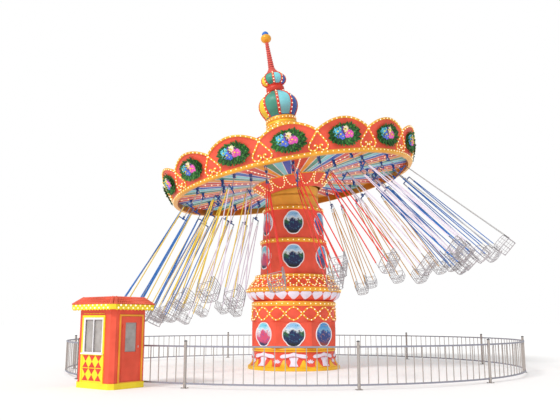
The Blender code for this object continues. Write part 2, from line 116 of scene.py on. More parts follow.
def turned(profile, sides=96, turn=0.0):  # a closed profile of (radius, height) turned about Z
    points, rings, faces = [], [], []
    for radius, height in profile:
        if radius == 0:
            rings.append([len(points)] * sides)
            points.append(Vector((0, 0, height)))
            continue
        rings.append([len(points) + i for i in range(sides)])
        for i in range(sides):
            out, _ = azimuth(turn + 360 * i / sides)
            points.append(out * radius + Vector((0, 0, height)))
    for here, there in zip(rings, rings[1:] + rings[:1]):
        for i in range(sides):
            corners = [here[i], here[(i + 1) % sides], there[(i + 1) % sides], there[i]]
            face = [c for k, c in enumerate(corners) if c != corners[k - 1]]
            if len(face) > 2:
                faces.append(tuple(face))
    return points, faces


def sectionRadius(radius, section, angle):  # an octagon's radius is to the middle of its faces
    face = pi / 4
    return radius if section == "round" else radius / cos((angle + face / 2) % face - face / 2)


def lofted(levels, sides=128):  # a closed solid through level sections (height, radius, section)
    points = []
    for height, radius, section in levels:
        for i in range(sides):
            angle = 2 * pi * i / sides
            reach = sectionRadius(radius, section, angle)
            points.append(Vector((reach * sin(angle), -reach * cos(angle), height)))
    faces = gridFaces(len(levels), sides)
    return points, faces + [tuple(range(sides)), tuple(range(len(points) - sides, len(points)))]


def rowMarks(levels, marks, sides=128):  # a finish for each band between two levels, then the two caps
    return [mark for mark in marks for _ in range(sides)] + [marks[0], marks[-1]]


def tube(path, radius, sides=8, closed=False):
    count, points, normal = len(path), [], None
    for i, spot in enumerate(path):
        before = path[i - 1] if closed or i else spot
        after = path[(i + 1) % count] if closed or i < count - 1 else spot
        along = (after - before).normalized()
        if normal is None:
            normal = along.cross(Vector((0, 0, 1)) if abs(along.z) < 0.9 else Vector((1, 0, 0)))
        normal = (normal - along * normal.dot(along)).normalized()
        other = along.cross(normal)
        for k in range(sides):
            angle = 2 * pi * k / sides
            points.append(spot + (normal * cos(angle) + other * sin(angle)) * radius)
    faces = gridFaces(count, sides)
    last = (count - 1) * sides
    if closed:
        faces += [(last + k, last + (k + 1) % sides, (k + 1) % sides, k) for k in range(sides)]
    else:
        faces += [tuple(range(sides)), tuple(range(last, last + sides))]
    return points, faces


def ridge(path, normals, width, height, closed=False, sink=0.008):  # a raised rounded moulding along a path
    section = [(-0.5, -sink), (-0.5, 0.4 * height), (-0.3, 0.88 * height), (0.0, height), (0.3, 0.88 * height),
               (0.5, 0.4 * height), (0.5, -sink)]
    count, rows, points = len(path), len(section), []
    for i, (spot, normal) in enumerate(zip(path, normals)):
        before = path[i - 1] if closed or i else spot
        after = path[(i + 1) % count] if closed or i < count - 1 else spot
        across = (after - before).cross(normal).normalized()
        points += [spot + across * (share * width) + normal * rise for share, rise in section]
    faces = gridFaces(count, rows)
    last = (count - 1) * rows
    if closed:
        faces += [(last + k, last + (k + 1) % rows, (k + 1) % rows, k) for k in range(rows)]
    else:
        faces += [tuple(range(rows)), tuple(range(last, last + rows))]
    return points, faces


def prism(outline, low, high):  # an outline in X and Y raised from low to high
    count = len(outline)
    points = [Vector((x, y, z)) for z in (low, high) for x, y in outline]
    faces = [tuple(range(count)), tuple(range(count, 2 * count))]
    return points, faces + [(i, (i + 1) % count, (i + 1) % count + count, i + count) for i in range(count)]


def block(low, high, bevel=0.0):  # a box with its upright and level edges eased
    cut = bevel
    outline = [(low[0] + cut, low[1]), (high[0] - cut, low[1]), (high[0], low[1] + cut), (high[0], high[1] - cut),
               (high[0] - cut, high[1]), (low[0] + cut, high[1]), (low[0], high[1] - cut), (low[0], low[1] + cut)]
    if not bevel:
        return prism([(low[0], low[1]), (high[0], low[1]), (high[0], high[1]), (low[0], high[1])], low[2], high[2])
    middle = Vector(((low[0] + high[0]) / 2, (low[1] + high[1]) / 2, 0))
    points = []
    for z, inset in ((low[2], cut), (low[2] + cut, 0), (high[2] - cut, 0), (high[2], cut)):
        for x, y in outline:
            spot = Vector((x, y, z))
            spot.x += inset * (1 if x < middle.x else -1)
            spot.y += inset * (1 if y < middle.y else -1)
            points.append(spot)
    return points, gridFaces(4, 8) + [tuple(range(8)), tuple(range(24, 32))]


def ball(centre, radius, sides=12, rings=8, squash=1.0):
    profile = [(radius * sin(pi * i / rings), -radius * squash * cos(pi * i / rings)) for i in range(rings + 1)]
    profile = [(0 if i in (0, rings) else r, z) for i, (r, z) in enumerate(profile)]
    points, faces = turned(profile[:-1] + [profile[-1]], sides)
    return [p + Vector(centre) for p in points], [f for f in faces if len(f) > 2]


def pad(place, rows, columns, thickness=0.012, bulge=0.01):  # a closed crowned sheet; place(u, v, rise), u from -1 to 1
    points = []
    for sheet in (1, 0):
        for i in range(rows + 1):
            for k in range(columns + 1):
                u, v = 2 * k / columns - 1, i / rows
                rise = thickness + bulge * (1 - u * u) * (1 - (2 * v - 1) ** 4) if sheet else -0.006
                points.append(place(u, v, rise))
    wide, layer = columns + 1, (rows + 1) * (columns + 1)
    faces = []
    for i in range(rows):
        for k in range(columns):
            a = i * wide + k
            faces.append((a, a + 1, a + wide + 1, a + wide))
            faces.append((layer + a, layer + a + wide, layer + a + wide + 1, layer + a + 1))
    edge = [k for k in range(wide)] + [i * wide + columns for i in range(1, rows + 1)]
    edge += [rows * wide + k for k in range(columns - 1, -1, -1)] + [i * wide for i in range(rows - 1, 0, -1)]
    for a, b in zip(edge, edge[1:] + edge[:1]):
        faces.append((a, layer + a, layer + b, b))
    return points, faces


def smoothPath(knots, steps=6, closed=False):  # a smooth curve through the knots
    count, made = len(knots), []
    for i in range(count if closed else count - 1):
        a = knots[i - 1] if closed or i else knots[0]
        b, c = knots[i], knots[(i + 1) % count]
        d = knots[(i + 2) % count] if closed or i + 2 < count else knots[-1]
        for k in range(steps):
            t = k / steps
            made.append(tuple(0.5 * (2 * q + (r - p) * t + (2 * p - 5 * q + 4 * r - s) * t * t
                                     + (3 * q - p - 3 * r + s) * t ** 3) for p, q, r, s in zip(a, b, c, d)))
    return made if closed else made + [tuple(knots[-1])]


def spaced(path, gap, closed=False, margin=0.0):  # points at an even gap along a path
    stops = path + path[:1] if closed else path
    lengths = [(b - a).length for a, b in zip(stops, stops[1:])]
    total = sum(lengths) - 2 * margin
    count = max(1, round(total / gap))
    made, walked, i = [], 0.0, 0
    for n in range(count if closed else count + 1):
        target = margin + total * n / count
        while i < len(lengths) - 1 and walked + lengths[i] < target:
            walked += lengths[i]
            i += 1
        share = (target - walked) / lengths[i] if lengths[i] else 0
        made.append(stops[i].lerp(stops[i + 1], min(max(share, 0), 1)))
    return made


# Finishes.

def tint(red, green, blue):  # a display colour as Blender's linear one
    return tuple((c / 255 / 12.92) if c <= 10 else ((c / 255 + 0.055) / 1.055) ** 2.4 for c in (red, green, blue))


def blankFinish(name):
    material = bpy.data.materials.new(name)
    material.use_nodes = True
    tree = material.node_tree
    return material, tree, tree.nodes["Principled BSDF"]


def addNode(tree, kind, **values):
    node = tree.nodes.new(kind)
    for name, value in values.items():
        if hasattr(node, name):
            setattr(node, name, value)
        else:
            node.inputs[name.replace("_", " ")].default_value = value
    return node


def noiseNode(tree, source, scale, detail=3.0, roughness=0.5):
    node = addNode(tree, "ShaderNodeTexNoise", Scale=scale, Detail=detail, Roughness=roughness)
    tree.links.new(source, node.inputs["Vector"])
    return node.outputs["Fac"]


def ranged(tree, source, low, high, start=0.35, end=0.65):
    node = addNode(tree, "ShaderNodeMapRange")
    for socket, value in zip(("From Min", "From Max", "To Min", "To Max"), (start, end, low, high)):
        node.inputs[socket].default_value = value
    tree.links.new(source, node.inputs["Value"])
    return node.outputs["Result"]


def blended(tree, share, first, second):
    node = tree.nodes.new("ShaderNodeMix")
    node.data_type = "RGBA"
    for socket, value in (("A", first), ("B", second)):
        target = [s for s in node.inputs if s.name == socket and s.type == "RGBA"][0]
        if isinstance(value, tuple):
            target.default_value = (*value, 1.0)
        else:
            tree.links.new(value, target)
    factor = [s for s in node.inputs if s.name == "Factor" and s.type == "VALUE"][0]
    tree.links.new(share, factor)
    return [s for s in node.outputs if s.type == "RGBA"][0]


def painted(name, colour, rough=0.42, metal=0.0, mottle=0.10, wear=0.25, worn=(0.35, 0.27, 0.2), grain=90.0,
            bump=0.12, coat=0.0):
    material, tree, shader = blankFinish(name)
    spots = addNode(tree, "ShaderNodeTexCoord").outputs["Object"]
    broad = noiseNode(tree, spots, 1.7, 4.0)
    fine = noiseNode(tree, spots, grain, 3.0)
    chips = noiseNode(tree, spots, 13.0, 9.0, 0.72)
    dark = tuple(c * (1 - mottle * 1.6) for c in colour)
    light = tuple(min(c * (1 + mottle) + 0.012, 1.0) for c in colour)
    base = blended(tree, ranged(tree, broad, 0.0, 1.0, 0.3, 0.7), dark, light)
    base = blended(tree, ranged(tree, chips, 0.0, wear, 0.62, 0.74), base, worn)
    tree.links.new(base, shader.inputs["Base Color"])
    tree.links.new(ranged(tree, fine, rough - 0.07, rough + 0.10, 0.3, 0.7), shader.inputs["Roughness"])
    relief = addNode(tree, "ShaderNodeBump", Strength=bump, Distance=0.002)
    tree.links.new(fine, relief.inputs["Height"])
    tree.links.new(relief.outputs["Normal"], shader.inputs["Normal"])
    shader.inputs["Metallic"].default_value = metal
    shader.inputs["Coat Weight"].default_value = coat
    shader.inputs["Coat Roughness"].default_value = 0.12
    shader.inputs["Specular IOR Level"].default_value = 0.35
    return material


def bulbGlass(name):  # warm pearl lamps, each with its own strength of light
    material, tree, shader = blankFinish(name)
    spots = addNode(tree, "ShaderNodeTexCoord").outputs["Object"]
    glow = noiseNode(tree, spots, 7.0, 2.0)
    base = blended(tree, ranged(tree, glow, 0.0, 1.0), tint(255, 226, 150), tint(255, 250, 232))
    tree.links.new(base, shader.inputs["Base Color"])
    tree.links.new(base, shader.inputs["Emission Color"])
    shader.inputs["Emission Strength"].default_value = 0.55
    tree.links.new(ranged(tree, noiseNode(tree, spots, 160.0), 0.12, 0.3), shader.inputs["Roughness"])
    return material


def clearPane(name):  # slightly dusty grey glass
    material, tree, shader = blankFinish(name)
    spots = addNode(tree, "ShaderNodeTexCoord").outputs["Object"]
    dust = noiseNode(tree, spots, 5.0, 6.0)
    tree.links.new(blended(tree, ranged(tree, dust, 0.0, 1.0), tint(150, 145, 143), tint(170, 165, 162)),
                   shader.inputs["Base Color"])
    tree.links.new(ranged(tree, dust, 0.05, 0.22), shader.inputs["Roughness"])
    shader.inputs["Coat Weight"].default_value = 0.4
    return material


def zincSteel(name, colour, rough=0.4, metal=0.75):  # galvanised steel with its spangle
    material, tree, shader = blankFinish(name)
    spots = addNode(tree, "ShaderNodeTexCoord").outputs["Object"]
    cells = addNode(tree, "ShaderNodeTexVoronoi", Scale=70.0)
    tree.links.new(spots, cells.inputs["Vector"])
    spangle = cells.outputs["Distance"]
    base = blended(tree, ranged(tree, spangle, 0.0, 1.0, 0.1, 0.8), tuple(c * 0.82 for c in colour), colour)
    streak = ranged(tree, noiseNode(tree, spots, 4.0, 6.0, 0.65), 0.0, 0.45, 0.55, 0.75)
    base = blended(tree, streak, base, tint(150, 138, 126))
    tree.links.new(base, shader.inputs["Base Color"])
    tree.links.new(ranged(tree, spangle, rough - 0.08, rough + 0.12, 0.1, 0.8), shader.inputs["Roughness"])
    relief = addNode(tree, "ShaderNodeBump", Strength=0.08, Distance=0.002)
    tree.links.new(spangle, relief.inputs["Height"])
    tree.links.new(relief.outputs["Normal"], shader.inputs["Normal"])
    shader.inputs["Metallic"].default_value = metal
    return material


def sleeveFinish(name, colour):  # soft plastic tube over a chain, which shows its links as faint rings
    material, tree, shader = blankFinish(name)
    spots = addNode(tree, "ShaderNodeTexCoord").outputs["Object"]
    rings = addNode(tree, "ShaderNodeTexWave", Scale=9.0, Distortion=0.6)
    rings.bands_direction = "Z"
    tree.links.new(spots, rings.inputs["Vector"])
    share = ranged(tree, rings.outputs["Fac"], 0.0, 1.0, 0.0, 1.0)
    base = blended(tree, share, tuple(c * 0.86 for c in colour), tuple(min(c * 1.05, 1) for c in colour))
    dirt = ranged(tree, noiseNode(tree, spots, 6.0, 5.0), 0.0, 0.22, 0.5, 0.7)
    tree.links.new(blended(tree, dirt, base, tint(150, 140, 128)), shader.inputs["Base Color"])
    tree.links.new(ranged(tree, noiseNode(tree, spots, 60.0), 0.34, 0.5), shader.inputs["Roughness"])
    relief = addNode(tree, "ShaderNodeBump", Strength=0.15, Distance=0.003)
    tree.links.new(rings.outputs["Fac"], relief.inputs["Height"])
    tree.links.new(relief.outputs["Normal"], shader.inputs["Normal"])
    return material


def paintedScene(name, sky, cloud, sides, middle, accent, ground):  # a hand-painted garden view, by the plaque's own UV
    material, tree, shader = blankFinish(name)
    coordinates = addNode(tree, "ShaderNodeTexCoord")
    split = tree.nodes.new("ShaderNodeSeparateXYZ")
    tree.links.new(coordinates.outputs["UV"], split.inputs[0])
    strokes = noiseNode(tree, coordinates.outputs["UV"], 5.5, 4.0, 0.6)
    fine = noiseNode(tree, coordinates.outputs["UV"], 11.0, 6.0, 0.7)

    def math(operation, first, second):
        node = addNode(tree, "ShaderNodeMath", operation=operation)
        for socket, value in zip(node.inputs, (first, second)):
            if isinstance(value, float):
                socket.default_value = value
            else:
                tree.links.new(value, socket)
        return node.outputs[0]

    wobble = math("MULTIPLY", math("SUBTRACT", strokes, 0.5), 0.55)
    level = math("ADD", split.outputs["Y"], wobble)
    aside = math("ADD", math("ABSOLUTE", math("SUBTRACT", split.outputs["X"], 0.5), 0.0), wobble)
    base = blended(tree, ranged(tree, level, 0.0, 1.0, 0.62, 0.86), cloud, sky)
    bushes = math("MULTIPLY", ranged(tree, aside, 0.0, 1.0, 0.16, 0.24), ranged(tree, level, 1.0, 0.0, 0.58, 0.66))
    base = blended(tree, bushes, base, sides)
    water = math("MULTIPLY", ranged(tree, aside, 1.0, 0.0, 0.2, 0.3), ranged(tree, level, 1.0, 0.0, 0.60, 0.70))
    base = blended(tree, water, base, middle)
    low = ranged(tree, level, 1.0, 0.0, 0.36, 0.5)
    base = blended(tree, low, base, middle)
    base = blended(tree, ranged(tree, fine, 0.0, 0.9, 0.56, 0.62), base, accent)
    base = blended(tree, ranged(tree, level, 1.0, 0.0, 0.10, 0.22), base, ground)
    tree.links.new(base, shader.inputs["Base Color"])
    tree.links.new(ranged(tree, fine, 0.28, 0.42), shader.inputs["Roughness"])
    relief = addNode(tree, "ShaderNodeBump", Strength=0.25, Distance=0.004)
    tree.links.new(fine, relief.inputs["Height"])
    tree.links.new(relief.outputs["Normal"], shader.inputs["Normal"])
    return material


coralPaint = painted("coralPaint", tint(232, 84, 58))
deepRed = painted("deepRed", tint(212, 58, 40))
roofRed = painted("roofRed", tint(206, 62, 44), rough=0.5, grain=45.0)
goldPaint = painted("goldPaint", tint(240, 170, 48), rough=0.34, metal=0.15, wear=0.15)
# painted shade: a darker copy of the gold for the inner faces, undersides and hollows of the canopy, ceiling and hub,
# where shade falls
shadedGold = painted("shadedGold", tint(198, 122, 24), rough=0.4, metal=0.15)
# painted light: a lighter gold that makes up for the canopy's shadow on the neck
litNeckGold = painted("litNeckGold", tint(246, 174, 62), rough=0.4)
yellowPaint = painted("yellowPaint", tint(250, 222, 40), wear=0.12)
footGold = painted("footGold", tint(240, 186, 30), wear=0.12)
tileRed = painted("tileRed", tint(236, 104, 76), rough=0.5)
jointRed = painted("jointRed", tint(176, 44, 34), rough=0.5)
creamPaint = painted("creamPaint", tint(238, 230, 232), wear=0.12, mottle=0.05)
whitePaint = painted("whitePaint", tint(240, 238, 242), wear=0.1, mottle=0.04)
lilacPaint = painted("lilacPaint", tint(232, 224, 240), wear=0.1, mottle=0.05)
orangePaint = painted("orangePaint", tint(238, 158, 46))
greenPaint = painted("greenPaint", tint(66, 150, 130))
cyanPaint = painted("cyanPaint", tint(128, 212, 222))
bluePaint = painted("bluePaint", tint(48, 98, 190))
stripeRed = painted("stripeRed", tint(218, 66, 50))
hangerBlue = painted("hangerBlue", tint(38, 84, 158), rough=0.4, wear=0.25)
slatePaint = painted("slatePaint", tint(64, 88, 116), rough=0.4)
leafDark = painted("leafDark", tint(28, 84, 34), rough=0.5, mottle=0.3)
leafLight = painted("leafLight", tint(58, 128, 48), rough=0.5, mottle=0.3)
petalPink = painted("petalPink", tint(232, 92, 190), mottle=0.15)
petalBlue = painted("petalBlue", tint(84, 112, 224), mottle=0.15)
petalCream = painted("petalCream", tint(248, 226, 190), mottle=0.1)
petalViolet = painted("petalViolet", tint(92, 54, 130), mottle=0.15)
petalSky = painted("petalSky", tint(96, 200, 232), mottle=0.12)
spireRed = painted("spireRed", tint(226, 96, 84))
grooveRed = painted("grooveRed", tint(150, 40, 44))
tipBlue = painted("tipBlue", tint(40, 110, 200))
steelDark = painted("steelDark", tint(92, 94, 98), rough=0.4, metal=0.7)
whiteMetal = zincSteel("whiteMetal", tint(206, 206, 208), 0.38, 0.35)
fenceZinc = zincSteel("fenceZinc", tint(176, 168, 163), 0.45, 0.25)
railZinc = zincSteel("railZinc", tint(150, 150, 164), 0.45, 0.25)
lampGlass = bulbGlass("lampGlass")
paneGlass = clearPane("paneGlass")
lakeView = paintedScene("lakeView", tint(140, 190, 230), tint(236, 242, 240), tint(30, 84, 34), tint(16, 30, 78),
                        tint(52, 132, 160), tint(8, 18, 20))
blossomView = paintedScene("blossomView", tint(120, 206, 226), tint(240, 240, 244), tint(214, 190, 200),
                           tint(206, 70, 110), tint(60, 80, 170), tint(40, 40, 80))
poolView = paintedScene("poolView", tint(70, 150, 214), tint(120, 190, 230), tint(36, 92, 170), tint(34, 60, 130),
                        tint(214, 150, 90), tint(150, 60, 50))
print("finishes ready")


# Pieces and Geometry Nodes.

def addPiece(name, mesh, finishes, body, replaced=()):
    piece = bpy.data.objects.new(name, mesh)
    scene.collection.objects.link(piece)
    for item in finishes:
        mesh.materials.append(item)
    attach(piece, body)
    if replaced:
        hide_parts(*replaced)
    return piece


def startTree(name, sockets):
    tree = bpy.data.node_groups.new(name, "GeometryNodeTree")
    tree.interface.new_socket("Geometry", in_out="INPUT", socket_type="NodeSocketGeometry")
    for label, kind, value in sockets:
        socket = tree.interface.new_socket(label, in_out="INPUT", socket_type="NodeSocket" + kind)
        if value is not None:
            socket.default_value = value
    tree.interface.new_socket("Geometry", in_out="OUTPUT", socket_type="NodeSocketGeometry")
    return tree, tree.nodes.new("NodeGroupInput"), tree.nodes.new("NodeGroupOutput")


def endTree(tree, start, end, instances):  # every tree ends in Realize Instances and Set Material
    real, smooth, paint = (tree.nodes.new("GeometryNode" + kind) for kind in
                           ("RealizeInstances", "SetShadeSmooth", "SetMaterial"))
    tree.links.new(instances, real.inputs[0])
    tree.links.new(real.outputs[0], smooth.inputs[0])
    tree.links.new(smooth.outputs[0], paint.inputs[0])
    tree.links.new(start.outputs["Finish"], paint.inputs["Material"])
    tree.links.new(paint.outputs[0], end.inputs[0])


def lampTree():  # a small globe lamp at every point
    tree, start, end = startTree("lampsOnPoints", (("Lamp Radius", "Float", 0.025), ("Lamp Sides", "Int", 8),
                                                   ("Finish", "Material", None)))
    globe = tree.nodes.new("GeometryNodeMeshUVSphere")
    globe.inputs["Rings"].default_value = 4
    place = tree.nodes.new("GeometryNodeInstanceOnPoints")
    tree.links.new(start.outputs["Lamp Radius"], globe.inputs["Radius"])
    tree.links.new(start.outputs["Lamp Sides"], globe.inputs["Segments"])
    tree.links.new(start.outputs["Geometry"], place.inputs["Points"])
    tree.links.new(globe.outputs[0], place.inputs["Instance"])
    endTree(tree, start, end, place.outputs[0])
    return tree


def ringTree():  # copies of a template turned about Z, the first at its own azimuth
    tree, start, end = startTree("ringOfCopies", (("Template", "Object", None), ("Copies", "Int", 8),
                                                  ("First Turn", "Float", 0.0), ("Finish", "Material", None)))
    line = tree.nodes.new("GeometryNodeMeshLine")
    line.inputs["Offset"].default_value = (0, 0, 0)
    info = tree.nodes.new("GeometryNodeObjectInfo")
    place = tree.nodes.new("GeometryNodeInstanceOnPoints")
    index = tree.nodes.new("GeometryNodeInputIndex")
    step = addNode(tree, "ShaderNodeMath", operation="DIVIDE")
    step.inputs[0].default_value = 2 * pi
    turn = addNode(tree, "ShaderNodeMath", operation="MULTIPLY_ADD")
    spin = tree.nodes.new("ShaderNodeCombineXYZ")
    tree.links.new(start.outputs["Copies"], line.inputs["Count"])
    tree.links.new(start.outputs["Template"], info.inputs["Object"])
    tree.links.new(start.outputs["Copies"], step.inputs[1])
    tree.links.new(index.outputs[0], turn.inputs[0])
    tree.links.new(step.outputs[0], turn.inputs[1])
    tree.links.new(start.outputs["First Turn"], turn.inputs[2])
    tree.links.new(turn.outputs[0], spin.inputs["Z"])
    tree.links.new(line.outputs[0], place.inputs["Points"])
    tree.links.new(info.outputs["Geometry"], place.inputs["Instance"])
    tree.links.new(spin.outputs[0], place.inputs["Rotation"])
    endTree(tree, start, end, place.outputs[0])
    return tree


def scatterTree():  # copies of a template at every point, by the point's own turn and size
    tree, start, end = startTree("copiesOnPoints", (("Template", "Object", None), ("Copy Size", "Float", 1.0),
                                                    ("Finish", "Material", None)))
    info = tree.nodes.new("GeometryNodeObjectInfo")
    place = tree.nodes.new("GeometryNodeInstanceOnPoints")
    turn, size = (tree.nodes.new("GeometryNodeInputNamedAttribute") for _ in range(2))
    turn.data_type, size.data_type = "FLOAT_VECTOR", "FLOAT"
    turn.inputs["Name"].default_value, size.inputs["Name"].default_value = "turn", "size"
    scaled = addNode(tree, "ShaderNodeMath", operation="MULTIPLY")
    tree.links.new(start.outputs["Template"], info.inputs["Object"])
    tree.links.new(start.outputs["Geometry"], place.inputs["Points"])
    tree.links.new(info.outputs["Geometry"], place.inputs["Instance"])
    tree.links.new([s for s in turn.outputs if s.enabled and s.name == "Attribute"][0], place.inputs["Rotation"])
    tree.links.new([s for s in size.outputs if s.enabled and s.name == "Attribute"][0], scaled.inputs[0])
    tree.links.new(start.outputs["Copy Size"], scaled.inputs[1])
    tree.links.new(scaled.outputs[0], place.inputs["Scale"])
    endTree(tree, start, end, place.outputs[0])
    return tree


lamps, ring, scatter = lampTree(), ringTree(), scatterTree()


def grown(name, tree, values, points=((0, 0, 0),), turns=None, sizes=None, sharp=None):
    base = bpy.data.meshes.new(name + "Points")
    base.from_pydata([tuple(p) for p in points], [], [])
    if turns:
        base.attributes.new("turn", "FLOAT_VECTOR", "POINT").data.foreach_set("vector", [c for t in turns for c in t])
        base.attributes.new("size", "FLOAT", "POINT").data.foreach_set("value", sizes or [1.0] * len(points))
    holder = bpy.data.objects.new(name + "Holder", base)
    scene.collection.objects.link(holder)
    modifier = holder.modifiers.new("grow", "NODES")
    modifier.node_group = tree
    for item in tree.interface.items_tree:
        if item.in_out == "INPUT" and item.name in values:
            modifier[item.identifier] = values[item.name]
    bpy.context.view_layer.update()
    mesh = bpy.data.meshes.new_from_object(holder.evaluated_get(bpy.context.evaluated_depsgraph_get()))
    bpy.data.objects.remove(holder)
    mesh.name = name
    for layer in [a.name for a in mesh.attributes if a.name in ("turn", "size")]:
        mesh.attributes.remove(mesh.attributes[layer])
    if sharp:
        mesh.set_sharp_from_angle(angle=radians(sharp))
    return mesh


def asTemplate(shape, sharp=38):  # a template object, which is removed once its copies are made
    holder = bpy.data.objects.new("template", shape.mesh("template", sharp=sharp) if isinstance(shape, Shape) else shape)
    scene.collection.objects.link(holder)
    holder.hide_render = True
    return holder


def addGrown(name, mesh, body, place=None):
    if place:
        mesh.transform(place)
    piece = bpy.data.objects.new(name, mesh)
    scene.collection.objects.link(piece)
    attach(piece, body)
    return piece


def addLamps(name, points, radius, body, place=None):
    mesh = grown(name, lamps, {"Lamp Radius": radius, "Finish": lampGlass}, points)
    return addGrown(name, mesh, body, place)


def addRing(name, shape, copies, finish, body, first=0.0, place=None, sharp=38):
    holder = asTemplate(shape, sharp)
    mesh = grown(name, ring, {"Template": holder, "Copies": copies, "First Turn": radians(first), "Finish": finish},
                 sharp=sharp)
    bpy.data.objects.remove(holder)
    return addGrown(name, mesh, body, place)


def ringPoints(points, copies, first=0.0):  # the same points turned round Z
    return [Matrix.Rotation(radians(first + 360 * i / copies), 4, "Z") @ p for i in range(copies) for p in points]


def circlePoints(radius, height, count, first=0.0):
    return [azimuth(first + 360 * i / count)[0] * radius + Vector((0, 0, height)) for i in range(count)]


# Tower.

tower = {
    "flare": [(0.0, 1.72, "round"), (0.02, 1.74, "round"), (0.105, 1.742, "round"), (0.13, 1.72, "round"),
              (0.14, 1.69, "round"), (0.22, 1.61, "round"), (0.30, 1.57, "round"), (0.40, 1.545, "round"),
              (0.64, 1.522, "round"), (0.66, 1.57, "round"), (0.70, 1.585, "round"), (0.715, 1.56, "round"),
              (0.73, 1.56, "round"), (0.745, 1.585, "round"), (0.785, 1.575, "round"), (0.805, 1.55, "round")],
    "flareMarks": [1, 1, 1, 1, 0, 0, 0, 0, 0, 1, 1, 2, 1, 1, 1],
    "base": [(0.805, 1.545, "octagon"), (1.720, 1.545, "octagon")],
    "lattice": [(1.720, 1.590, "round"), (1.735, 1.600, "round"), (2.290, 1.575, "round"), (2.300, 1.598, "round"),
                (2.325, 1.610, "round"), (2.440, 1.608, "round"), (2.465, 1.595, "round"), (2.500, 1.540, "round")],
    "latticeMarks": [0, 0, 1, 1, 1, 1, 0],
    "crown": [(2.500, 1.500, "round"), (2.550, 1.600, "round"), (2.610, 1.662, "round"), (2.670, 1.710, "round"),
              (2.740, 1.742, "round"), (2.800, 1.760, "round"), (2.815, 1.800, "round"), (2.835, 1.820, "round"),
              (2.945, 1.818, "round"), (2.965, 1.800, "round"), (2.980, 1.760, "round"), (3.360, 1.450, "round"),
              (3.368, 1.474, "round"), (3.390, 1.484, "round"), (3.445, 1.480, "round"), (3.468, 1.462, "round")],
    "crownMarks": [0, 0, 0, 0, 0, 1, 1, 1, 1, 1, 0, 1, 1, 1, 1],
    "lower": [(3.470, 1.280, "round"), (4.665, 1.240, "round")],
    "upper": [(4.665, 1.265, "round"), (4.672, 1.284, "round"), (4.700, 1.294, "round"), (4.785, 1.292, "round"),
              (4.812, 1.280, "round"), (4.820, 1.260, "round"), (4.825, 1.200, "round"), (5.915, 1.145, "round"),
              (5.920, 1.165, "round"), (5.940, 1.186, "round"), (6.035, 1.184, "round"), (6.056, 1.170, "round"),
              (6.060, 1.150, "round")],
    "upperMarks": [1, 1, 1, 1, 1, 0, 0, 0, 1, 1, 1, 1],
}
gap = 0.0003


def towerShell(name, levels, marks, finishes, node):
    lifted = [(levels[0][0] + (gap if levels[0][0] else 0), *levels[0][1:])] + levels[1:]
    shape = Shape().add(lofted(lifted), rowMarks(levels, marks))
    return addPiece(name, shape.mesh(name), finishes, "tower", [node])


towerShell("baseFlareShell", tower["flare"], tower["flareMarks"], [coralPaint, footGold, deepRed], "base_flare")
towerShell("baseDrumShell", tower["base"], [0], [coralPaint], "base_drum")
towerShell("latticeRingShell", tower["lattice"], tower["latticeMarks"], [coralPaint, goldPaint], "lattice_ring")
towerShell("crownBowlShell", tower["crown"], tower["crownMarks"], [coralPaint, goldPaint], "crown_bowl")
towerShell("lowerDrumShell", tower["lower"], [0], [coralPaint], "lower_drum")
towerShell("upperDrumShell", tower["upper"], tower["upperMarks"], [coralPaint, goldPaint], "upper_drum")


def profileRadius(levels, height):
    for (low, first, _), (high, second, _) in zip(levels, levels[1:]):
        if low <= height <= high:
            return first + (second - first) * (height - low) / (high - low)
    return levels[-1][1]


def onRound(levels, turn, height, rise):
    out, _ = azimuth(turn)
    return out * (profileRadius(levels, height) + rise) + Vector((0, 0, height))


# Medallions: shouldered barrels, eight round the base and six round each drum above.
medallion = {"rows": (("base", 1.275, 0.400, 0.425, 8), ("lower", 4.130, 0.392, 0.432, 6),
                      ("upper", 5.410, 0.362, 0.432, 6)),
             "frame": 0.040, "frameHeight": 0.030, "views": (lakeView, poolView, blossomView)}


def barrel(half, tall, angle):  # two crossed rounded shapes joined, which leaves four small shoulders
    def reach(a, b, power):
        return (abs(sin(angle) / a) ** power + abs(cos(angle) / b) ** power) ** (-1 / power)

    return max(reach(half, tall * 0.80, 2.3), reach(half * 0.80, tall, 2.5))


def medallionParts(key, levels, level, half, tall):
    out, along = azimuth(0)
    lean = profileRadius(levels, level + 0.01) - profileRadius(levels, level)
    normal = (out - Vector((0, 0, lean / 0.01))).normalized()
    rim, count = [], 72
    for i in range(count):
        angle = 2 * pi * i / count
        reach = barrel(half, tall, angle)
        height = level + reach * cos(angle)
        radius = profileRadius(levels, height)
        if levels[0][2] == "round" or key != "base":
            rim.append(onRound(levels, degrees(reach * sin(angle) / radius), height, 0))
        else:
            rim.append(out * radius + along * (reach * sin(angle)) + Vector((0, 0, height)))
    centre = out * profileRadius(levels, level) + Vector((0, 0, level))
    rings, points, uvs = (1.0, 0.97, 0.72, 0.4), [], []
    for share, rise in zip(rings, (-0.004, 0.012, 0.016, 0.018)):
        for spot in rim:
            place = centre.lerp(spot, share)
            if key != "base":
                flat = Vector((place.x, place.y, 0))
                place = flat.normalized() * profileRadius(levels, place.z) + Vector((0, 0, place.z))
            place = place + normal * rise
            points.append(place)
            uvs.append((0.5 + (place - centre).dot(along) / (2 * half), 0.5 + (place.z - level) / (2 * tall)))
    points.append(centre + normal * 0.018)
    uvs.append((0.5, 0.5))
    faces = gridFaces(len(rings), count)
    last = (len(rings) - 1) * count
    faces += [(last + k, last + (k + 1) % count, len(points) - 1) for k in range(count)]
    faces.append(tuple(range(count)))
    normals = [normal] * count
    if key != "base":
        normals = [Vector((p.x, p.y, -lean / 0.01 * hypot(p.x, p.y))).normalized() for p in rim]
    border = ridge(rim, normals, medallion["frame"], medallion["frameHeight"], True)
    return (points, faces), uvs, border


